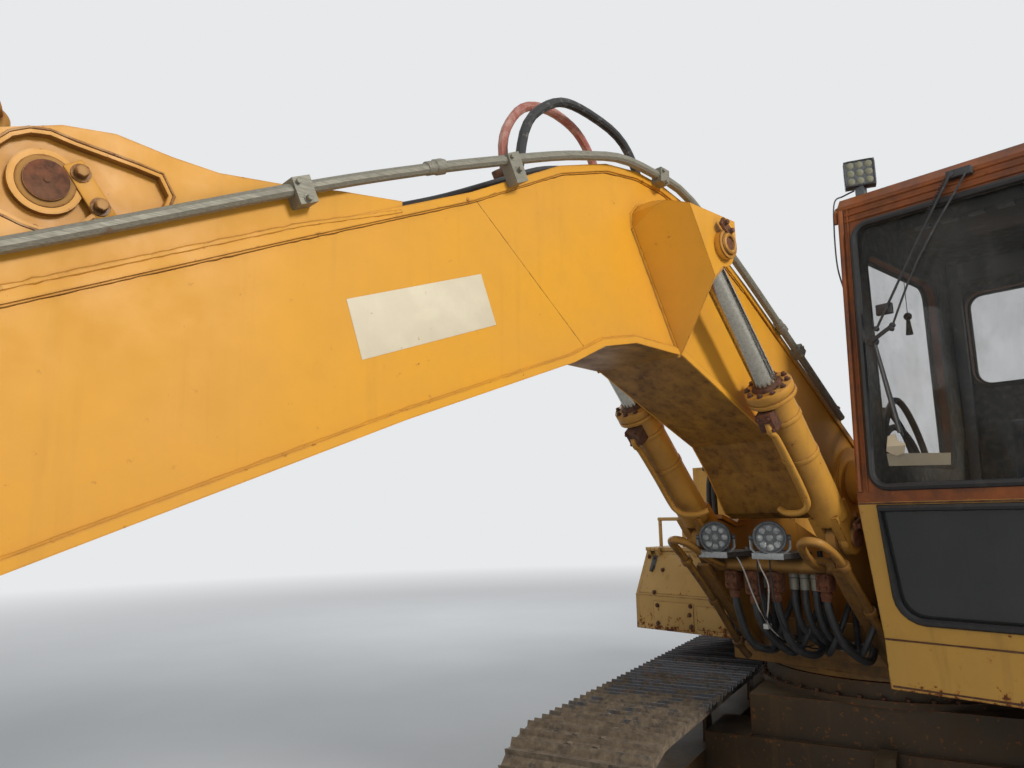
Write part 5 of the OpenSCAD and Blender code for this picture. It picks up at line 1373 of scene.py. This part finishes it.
def undercarriage_parts():
    """Drive covers, idler hubs and rims, cover plates, beads, and the bolts of rollers and slewing ring."""
    paint, iron, bolts, beads = bmesh.new(), bmesh.new(), bmesh.new(), bmesh.new()
    for side in (-1, 1):
        y, out = side * TRACK_Y, (0, side, 0)
        face = y + side * 0.190
        disc(paint, (-HALF_BASE, face - side * 0.002, WHEEL_Z), out, 0.118, 0.012, 48, edge=0.004)
        disc(paint, (-HALF_BASE, face + side * 0.008, WHEEL_Z), out, 0.050, 0.014, 36, edge=0.004)
        ring_of_bolts(bolts, (-HALF_BASE, face, WHEEL_Z), out, 0.134, 12, 0.011)
        ring_of_bolts(bolts, (-HALF_BASE, y + side * 0.120, WHEEL_Z), out, 0.176, 18, 0.012)
        for a in (0.9, -0.9):
            across, up = 0.08 * math.cos(a), 0.08 * math.sin(a)
            hex_bolt(iron, (-HALF_BASE + across, face + side * 0.008, WHEEL_Z + up), out, 0.013)
        for turn in (-1, 1):
            flank = y + turn * 0.130
            disc(iron, (HALF_BASE, flank, WHEEL_Z), (0, turn, 0), 0.046, 0.016, 36, edge=0.004)
            ring_of_bolts(bolts, (HALF_BASE, flank, WHEEL_Z), (0, turn, 0), 0.034, 4, 0.008)
            rim = [(HALF_BASE + a, y + turn * 0.080, WHEEL_Z + b) for a, b in circle(0.285, 48)]
            hoop(iron, rim, 0.010)
            disc(iron, (HALF_BASE, y + turn * 0.079, WHEEL_Z), (0, turn, 0), 0.115, 0.018, 40, edge=0.005)
            for i in range(7):
                for dx in (-0.045, 0.045):
                    hex_bolt(bolts, ((i - 3) * 0.37 + dx, flank, 0.245), (0, turn, 0), 0.012, turn=i * 17)
            weld(beads, [(-1.27, flank, 0.3215), (1.27, flank, 0.3215)], 0.006, 0.04, seed=turn)
            for x in (-0.48, 0.48):
                disc(iron, (x, flank, 0.696), (0, turn, 0), 0.028, 0.010, 24, edge=0.003)
        edge = y + side * 0.160
        slab(paint, (-0.20, edge - 0.002, 0.385), (0.14, edge + 0.002, 0.505), 0.0015)
        for x in (-0.18, 0.12):
            for z in (0.405, 0.485):
                hex_bolt(bolts, (x, edge, z), out, 0.010, turn=z * 90)
        for x in (-0.75, 0.60):
            slab(paint, (x, edge - 0.004, 0.555), (x + 0.24, edge + 0.004, 0.575), 0.003)
        weld(beads, [(-1.17, edge, 0.558), (1.17, edge, 0.558)], 0.006, 0.04, seed=side + 8)
    ring_of_bolts(bolts, (0, 0, 0.859), (0, 0, 1), 0.641, 40, 0.011)
    for x in (-0.47, 0.47):
        for y in (0.602, -0.602):
            weld(beads, [(x - 0.19, y, 0.642), (x + 0.19, y, 0.642)], 0.007, 0.03, seed=x)
    parked_piece("undercarriage_covers", paint, shade_darkened_low_paint)
    parked_piece("idler_rims_and_hubs", iron, roller_steel)
    parked_piece("undercarriage_bolts", bolts, bolt_rust)
    parked_piece("undercarriage_weld_beads", beads, shade_darkened_low_paint)


track_hardware()
undercarriage_parts()


# Engine housing, doors and tail

HOUSING_Y = 1.250
TAIL_R = 2.700
EXHAUST = (-1.5, -0.9)


def tail_x(y, out=0.0):
    """The tail's round face at a place across the machine, or proud of it."""
    return -math.sqrt((TAIL_R + out) ** 2 - y * y)


def side_door(side, body):
    """Louvres, pressed rim and latches of a service door, and its hinge bolts."""
    paint, black = bmesh.new(), bmesh.new()
    y = side * HOUSING_Y

    def put(bm, x0, z0, x1, z1, rise, edge):
        """A flat block on the door's face, sunk into it by a millimetre."""
        near, far = sorted((y - side * 0.001, y + side * rise))
        slab(bm, (x0, near, z0), (x1, far, z1), edge)

    for k in range(13):
        put(paint, -1.90, 1.33 + k * 0.034, -1.20, 1.349 + k * 0.034, 0.011, 0.005)
    rim = [(x, y + side * 0.001, z) for x, z in rounded_loop(-2.07, 1.19, -1.01, 1.80, 0.04)]
    hoop(paint, rim, 0.007)
    for z in (1.25, 1.74):
        put(black, -1.045, z - 0.035, -0.985, z + 0.035, 0.006, 0.003)
        put(black, -1.035, z - 0.008, -0.995, z + 0.012, 0.016, 0.005)
        disc(black, (-1.015, y + side * 0.005, z - 0.022), (0, side, 0), 0.007, 0.004, 16)
    for z in (1.25, 1.74):
        for dx in (0.030, 0.052):
            hex_bolt(black, (-2.124 + dx, y + side * 0.015, z), (0, side, 0), 0.006)
    tag = "left" if side > 0 else "right"
    piece("louvres_" + tag, paint, body_paint, body)
    piece("door_latches_" + tag, black, black_plastic, body)


def rear_housing():
    """Hood ribs and handles, tail rims and bolts, exhaust collars and flap, side cabinet door, treads."""
    hood, black = bmesh.new(), bmesh.new()
    for k in range(6):
        slab(hood, (-2.05 + k * 0.20, -0.50, 2.019), (-1.98 + k * 0.20, 0.56, 2.028), 0.004)
    rim = [(x, y, 2.021) for x, y in rounded_loop(-2.17, -0.57, -0.88, 0.63, 0.05)]
    hoop(hood, rim, 0.008)
    for y in (-0.30, 0.36):
        handle = [(-0.07, 2.02), (-0.07, 2.06), (0.0, 2.072), (0.07, 2.06), (0.07, 2.02)]
        hose(black, [(-2.12, y + dy, z) for dy, z in handle], 0.008, 8, 5)
        for dy in (-0.02, 0.02):
            hex_bolt(black, (-0.862, y * 1.3 + dy, 1.999), (0, 0, 1), 0.007)
    piece("hood_ribs", hood, body_paint, "engine_hood")
    piece("hood_handles", black, black_plastic, "engine_hood")

    tail, iron, bolts = bmesh.new(), bmesh.new(), bmesh.new()
    across = [-1.248 + 2.496 * k / 28 for k in range(29)]
    for z, r, out in ((1.893, 0.011, -0.003), (1.10, 0.006, 0.0), (1.80, 0.006, 0.0)):
        sweep(tail, [(tail_x(y, out), y, z) for y in across], r, 8, uneven=0.1)
    for y in (-0.55, 0.55):
        x = tail_x(y)
        disc(iron, (x + 0.004, y, 1.35), (x, y, 0), 0.075, 0.010, 40, edge=0.004)
        hex_bolt(bolts, (x - 0.004, y, 1.35), (x, y, 0), 0.036, turn=12)
    for side in (-1, 1):
        x = tail_x(1.05)
        lamp_place = stand((x + 0.002, side * 1.05, 1.66), (x, side * 1.05, 0))
        slab(iron, (-0.055, -0.024, 0.0), (0.055, 0.024, 0.014), 0.004, lamp_place)
        weld(tail, [(-2.2515, side * 1.2515, 1.04), (-2.2515, side * 1.2515, 1.95)], 0.006, 0.04)
        for z in (1.035, 1.955):
            sweep(tail, [(x, side * 1.2475, z) for x in (-2.24, -1.8, -1.3, -0.81)], 0.0065, 8)
    piece("tail_ribs", tail, body_paint, "upper")
    piece("tail_plugs_and_lamps", iron, pin_rust, "upper")
    piece("tail_bolts", bolts, bolt_rust, "upper")

    pipe = bmesh.new()
    disc(pipe, (*EXHAUST, 1.960), (0, 0, 1), 0.085, 0.014, 36, edge=0.003)
    for z in (2.04, 2.20, 2.36):
        disc(pipe, (*EXHAUST, z), (0, 0, 1), 0.0595, 0.020, 36, edge=0.003)
    ring_of_bolts(pipe, (*EXHAUST, 1.974), (0, 0, 1), 0.072, 6, 0.008)
    flap = stand((*EXHAUST, 2.468), (-0.25, 0, 1))
    made = bmesh.ops.create_cone(pipe, cap_ends=True, segments=36, radius1=0.062, radius2=0.060,
                                 depth=0.006, matrix=flap @ Matrix.Translation((0, 0, 0.012)))
    soften(pipe, made["verts"], 0.002, 1)
    slab(pipe, (-1.575, -0.915, 2.425), (-1.553, -0.885, 2.495), 0.004)
    piece("exhaust_collars_and_flap", pipe, pin_rust, "upper")

    cabinet, latch, tread = bmesh.new(), bmesh.new(), bmesh.new()
    slab(cabinet, (-0.765, 1.2490, 1.075), (0.000, 1.2535, 1.715), 0.002)
    for k in range(9):
        slab(cabinet, (-0.60, 1.2525, 1.44 + k * 0.026), (-0.16, 1.262, 1.454 + k * 0.026), 0.004)
    sweep(cabinet, [(x, 1.2475, 1.7575) for x in (-0.79, -0.4, 0.02)], 0.006, 8)
    for x in (-0.70, -0.06):
        slab(latch, (x - 0.02, 1.252, 1.36), (x + 0.02, 1.262, 1.41), 0.004)
    slab(tread, (-0.76, 0.53, 1.7598), (0.00, 1.21, 1.7625), 0.001)
    slab(tread, (-0.36, -0.76, 1.9998), (-0.16, -0.58, 2.0025), 0.001)
    for i in range(15):
        for j in range(13):
            x, y = -0.745 + i * 0.050, 0.55 + j * 0.050
            slab(tread, (x, y, 1.762), (x + 0.023, y + 0.022, 1.7655), 0.0)
    for y in (-1.2, -0.8):
        disc(latch, (-0.30, y, 2.0), (0, 0, 1), 0.030, 0.006, 24, edge=0.002)
    piece("side_cabinet_door", cabinet, body_paint, "upper")
    piece("cabinet_latches", latch, black_plastic, "upper")
    piece("tread_plates", tread, seal_rubber, "upper")


side_door(1, "service_door_left")
side_door(-1, "service_door_right")
rear_housing()


# Stick, bucket and their cylinders

STICK = tilted((5.550, 0, 1.270), 22)
BUCKET = tilted((7.5898, 0, 0.445865), 19)
STICK_CYLINDER = tilted((4.000, 0, 2.355), 19.768)
BUCKET_CYLINDER = STICK @ tilted((0.300, 0, 0.410), -6.529)


def pin_end(rusty, paint, turn, x, y, z, r, keeper=0.0):
    """A pin's end with its collar, and a keeper plate with two bolts where asked."""
    for side in (-1, 1):
        out = turn.to_3x3() @ Vector((0, side, 0))
        disc(paint, turn @ Vector((x, side * (y - 0.003), z)), out, r + 0.018, 0.007, 36, edge=0.002)
        disc(rusty, turn @ Vector((x, side * (y - 0.001), z)), out, r + 0.001, 0.013, 32, edge=0.003)
        if keeper:
            here = turn @ Matrix.Translation((x, side * (y + 0.009), z)) @ Matrix.Rotation(keeper, 4, "Y")
            slab(rusty, (-0.014, -0.005, r * 0.6), (0.014, 0.005, r + 0.060), 0.002, here)
            hex_bolt(rusty, here @ Vector((0, side * 0.004, r + 0.042)), out, 0.008)


def tube_trim(name, turn, radius, length, body):
    """Gland ring with bolts, bands, port blocks and feed pipe of a cylinder along X."""
    gland, bolts, pipe = bmesh.new(), bmesh.new(), bmesh.new()
    ahead = turn.to_3x3() @ Vector((1, 0, 0))
    over = turn.to_3x3() @ Vector((0, 0, 1))
    disc(gland, turn @ Vector((length - 0.075, 0, 0)), ahead, radius + 0.0215, 0.016, 44, edge=0.003)
    disc(gland, turn @ Vector((length - 0.004, 0, 0)), ahead, radius + 0.012, 0.018, 44, edge=0.004,
         top=radius - 0.004)
    ring_of_bolts(bolts, turn @ Vector((length, 0, 0)), ahead, radius + 0.010, 10, 0.007)
    for share in (0.25, 0.62):
        disc(gland, turn @ Vector((length * share, 0, 0)), ahead, radius + 0.003, 0.022, 44, edge=0.002)
    for s in (0.15, length - 0.13):
        slab(gland, (s - 0.030, -0.026, radius - 0.010), (s + 0.030, 0.026, radius + 0.028), 0.005, turn)
        for dx in (-0.018, 0.018):
            hex_bolt(bolts, turn @ Vector((s + dx, 0.014, radius + 0.028)), over, 0.006)
            hex_bolt(bolts, turn @ Vector((s + dx, -0.014, radius + 0.028)), over, 0.006)
    line = [(length - 0.13, 0.026, radius + 0.012), (length - 0.13, 0.048, radius + 0.010),
            (length - 0.20, 0.056, radius + 0.004), (length * 0.5, 0.058, radius),
            (0.25, 0.058, radius), (0.18, 0.050, radius + 0.012), (0.10, 0.040, radius + 0.02)]
    sweep(pipe, [turn @ v for v in route(line, 6)], 0.011, 12)
    piece(name + "_collars", gland, cylinder_paint, body)
    piece(name + "_bolts", bolts, bolt_rust, body)
    piece(name + "_feed_pipe", pipe, cylinder_paint, body)


def stick_parts():
    """Pins, beads and cylinder fittings of the stick, its rocker and the boom's tip."""
    rusty, paint, beads = bmesh.new(), bmesh.new(), bmesh.new()
    pin_end(rusty, paint, STICK, 1.800, 0.196, 0.030, 0.036, 0.5)
    pin_end(rusty, paint, STICK, 0.300, 0.116, 0.410, 0.036, -0.6)
    pin_end(rusty, paint, STICK, -0.392, 0.106, 0.506, 0.040, 2.4)
    outline = [(-0.150, -0.060), (-0.060, -0.190), (0.300, -0.240), (1.250, -0.170), (2.100, -0.085),
               (2.190, -0.080), (2.190, 0.080), (2.100, 0.085), (1.650, 0.120), (0.900, 0.230),
               (0.260, 0.330), (-0.120, 0.430), (-0.230, 0.300)]
    ring = inset(list(reversed(outline)), 0.022)
    for side in (-1, 1):
        line = [STICK @ Vector((x, side * 0.1505, z)) for x, z in ring]
        sweep(beads, line, 0.0045, 6, closed=True, uneven=0.4, seed=side)
        weld(beads, [STICK @ Vector((1.25, side * 0.1505, z)) for z in (0.155, -0.145)], 0.003, seed=side)
        for a, b in (((-0.12, 0.2), (0.02, 0.36)), ((0.16, 0.31), (0.52, 0.265))):
            weld(beads, [STICK @ Vector((x, side * 0.108, z)) for x, z in (a, b)], 0.006, seed=side + 2)
    piece("stick_pin_ends", rusty, pin_rust, "stick")
    piece("stick_pin_collars", paint, digging_paint, "stick")
    piece("stick_weld_beads", beads, boom_paint, "stick")
    rusty, paint = bmesh.new(), bmesh.new()
    pin_end(rusty, paint, STICK, 0.0, 0.230, 0.0, 0.045, 0.9)
    piece("boom_tip_pin_ends", rusty, pin_rust, "boom")
    piece("boom_tip_collars", paint, frame_paint, "boom")
    rusty, paint = bmesh.new(), bmesh.new()
    pin_end(rusty, paint, STICK, 1.5495, 0.195, 0.553, 0.036, 0.0)
    piece("rocker_pin_ends", rusty, pin_rust, "rocker")
    piece("rocker_collars", paint, digging_paint, "rocker")
    tube_trim("stick_cylinder", STICK_CYLINDER, 0.070, 1.250, "stick_barrel")
    elbow, lean = bmesh.new(), STICK_CYLINDER.to_3x3()
    bends = [(0.10, 0.030, 0.06), (0.06, 0.034, 0.10), (0.012, 0.04, 0.150), (0.0, 0.045, 0.176),
             (0.025, 0.05, 0.199), (0.085, 0.05, 0.200)]
    sweep(elbow, [STICK_CYLINDER @ v for v in route(bends, 6)], 0.0125, 12)
    for at, axis, r, height, edge in (((0.0, 0.05, 0.198), (1, 0, 0), 0.024, 0.05, 0.004),
                                      ((0.03, 0.036, 0.130), (-0.5, 0, 0.9), 0.020, 0.026, 0.003)):
        disc(elbow, STICK_CYLINDER @ Vector(at), lean @ Vector(axis), r, height, 24, edge=edge)
    piece("stick_cylinder_foot_elbow", elbow, frame_paint, "stick_barrel")
    tube_trim("bucket_cylinder", BUCKET_CYLINDER, 0.060, 1.070, "bucket_barrel")


def bucket_parts():
    """Pin ends, bolted side cutters, bars round the back, tooth sockets with their pins, and beads."""
    rusty, paint, steel, beads = bmesh.new(), bmesh.new(), bmesh.new(), bmesh.new()
    pin_end(rusty, paint, BUCKET, 0.0, 0.210, 0.0, 0.040, 2.2)
    ear = BUCKET.inverted() @ (STICK @ Vector((2.083, 0, 0.3825)))
    pin_end(rusty, paint, BUCKET, ear.x, 0.200, ear.z, 0.036, 1.2)
    for side in (-1, 1):
        near, far = sorted((side * 0.549, side * 0.562))
        slab(steel, (0.98, near, 0.030), (1.20, far, 0.086), 0.003, BUCKET)
        for x in (1.02, 1.09, 1.16):
            hex_bolt(steel, BUCKET @ Vector((x, side * 0.562, 0.058)), (0, side, 0), 0.012)
        ear_edge = ((0.18, 0.215), (0.25, 0.335), (0.33, 0.400))
        weld(beads, [BUCKET @ Vector((x, side * 0.202, z)) for x, z in ear_edge], 0.006, seed=side)
    for a in (150, 120, 90, 68):
        t = math.radians(a)
        on_back = Matrix.Translation((0.560 + 0.400 * math.cos(t), 0, 0.060 + 0.400 * math.sin(t)))
        here = BUCKET @ on_back @ Matrix.Rotation(math.pi / 2 - t, 4, "Y")
        slab(steel, (-0.035, -0.548, -0.004), (0.035, 0.548, 0.012), 0.004, here)
    for i in range(5):
        tooth = BUCKET @ tilted((1.240, (i - 2) * 0.2475, 0.070), 34.6)
        slab(steel, (-0.115, -0.044, -0.030), (-0.012, 0.044, 0.030), 0.010, tooth)
        for side in (-1, 1):
            disc(rusty, tooth @ Vector((-0.045, side * 0.043, 0)), (0, side, 0), 0.012, 0.006, 16,
                 edge=0.002)
    piece("bucket_pin_ends", rusty, pin_rust, "bucket")
    piece("bucket_collars", paint, digging_paint, "bucket")
    piece("bucket_wear_bars", steel, worn_steel, "bucket")
    piece("bucket_weld_beads", beads, digging_paint, "bucket")


stick_parts()
bucket_parts()


# Stage, light and camera

def studio():
    """A pale floor that fades into an even backdrop, and a soft world light."""
    low = cad_box[0].z
    bm = bmesh.new()
    bmesh.ops.create_circle(bm, cap_ends=True, segments=96, radius=90.0,
                            matrix=Matrix.Translation((2, 0, low)))
    mesh = bpy.data.meshes.new("studio_floor")
    bm.to_mesh(mesh)
    bm.free()
    floor = bpy.data.objects.new("studio_floor", mesh)
    bpy.context.scene.collection.objects.link(floor)
    backdrop = (0.80, 0.815, 0.83)
    f = Finish("pale studio floor", Roughness=0.85)
    patches = f.span(f.noise(0.7, 3.0), 0.3, 0.7, 0.0, 1.0)
    f.set("Base Color", f.mix(patches, (0.70, 0.71, 0.72), (0.66, 0.67, 0.68)))
    glow = f.nodes.new("ShaderNodeEmission")
    glow.inputs["Color"].default_value = (*backdrop, 1.0)
    away = f.nodes.new("ShaderNodeVectorMath")
    away.operation = "LENGTH"
    f.links.new(f.place, away.inputs[0])
    ray = f.nodes.new("ShaderNodeLightPath")
    bent = f.calc("MAXIMUM", ray.outputs["Is Glossy Ray"], ray.outputs["Is Transmission Ray"])
    seen = f.calc("MAXIMUM", ray.outputs["Is Camera Ray"], bent)
    share = f.calc("MULTIPLY", f.span(away.outputs["Value"], 7.0, 22.0), seen)
    blend = f.nodes.new("ShaderNodeMixShader")
    f.links.new(share, blend.inputs[0])
    f.links.new(f.shader.outputs[0], blend.inputs[1])
    f.links.new(glow.outputs[0], blend.inputs[2])
    f.links.new(blend.outputs[0], f.output.inputs["Surface"])
    mesh.materials.append(f.material)

    world = bpy.data.worlds.new("soft studio")
    bpy.context.scene.world = world
    world.use_nodes = True
    nodes, links = world.node_tree.nodes, world.node_tree.links
    nodes.clear()
    out = nodes.new("ShaderNodeOutputWorld")
    light = nodes.new("ShaderNodeBackground")
    light.inputs["Color"].default_value = (0.92, 0.96, 1.0, 1.0)
    light.inputs["Strength"].default_value = 0.27
    shown = nodes.new("ShaderNodeBackground")
    shown.inputs["Color"].default_value = (*backdrop, 1.0)
    shown.inputs["Strength"].default_value = 1.0
    path = nodes.new("ShaderNodeLightPath")
    pick = nodes.new("ShaderNodeMath")
    pick.operation = "MAXIMUM"
    both = nodes.new("ShaderNodeMath")
    both.operation = "MAXIMUM"
    mixer = nodes.new("ShaderNodeMixShader")
    links.new(path.outputs["Is Camera Ray"], pick.inputs[0])
    links.new(path.outputs["Is Glossy Ray"], pick.inputs[1])
    links.new(pick.outputs[0], both.inputs[0])
    links.new(path.outputs["Is Transmission Ray"], both.inputs[1])
    links.new(both.outputs[0], mixer.inputs[0])
    links.new(light.outputs[0], mixer.inputs[1])
    links.new(shown.outputs[0], mixer.inputs[2])
    links.new(mixer.outputs[0], out.inputs["Surface"])


def lamp(name, at, towards, size, power, tint):
    """A round area lamp that looks at a point."""
    data = bpy.data.lights.new(name, "AREA")
    data.shape = "DISK"
    data.size = size
    data.energy = power
    data.color = tint
    obj = bpy.data.objects.new(name, data)
    turn = (Vector(at) - Vector(towards)).to_track_quat("Z", "Y").to_matrix().to_4x4()
    obj.matrix_world = Matrix.Translation(at) @ turn
    bpy.context.scene.collection.objects.link(obj)


def photograph_camera():
    """The camera at the photograph's place and angle."""
    data = bpy.data.cameras.new("photograph")
    data.sensor_width = 36.0
    data.lens = 26.86
    data.clip_start = 0.05
    data.clip_end = 400.0
    obj = bpy.data.objects.new("photograph", data)
    right = Vector((-0.7424, 0.6696, -0.0197)).normalized()
    forward = Vector((-0.6627, -0.7298, 0.1677)).normalized()
    up = right.cross(forward).normalized()
    turn = Matrix((right, up, -forward)).transposed().to_4x4()
    obj.matrix_world = Matrix.Translation((4.265, 1.781, 1.718)) @ turn
    bpy.context.scene.collection.objects.link(obj)
    bpy.context.scene.camera = obj


studio()
lamp("key", (1.6, 13.0, 8.0), (2.0, 0.0, 1.6), 3.2, 1330, (1.0, 0.965, 0.91))
lamp("fill", (12.0, 2.0, 6.0), (0.5, 0.0, 1.4), 6.0, 170, (0.93, 0.97, 1.0))
lamp("back", (-5.0, -10.0, 7.0), (1.5, 0.0, 1.4), 6.0, 330, (0.95, 0.98, 1.0))
photograph_camera()
bpy.context.scene.view_settings.view_transform = "Standard"
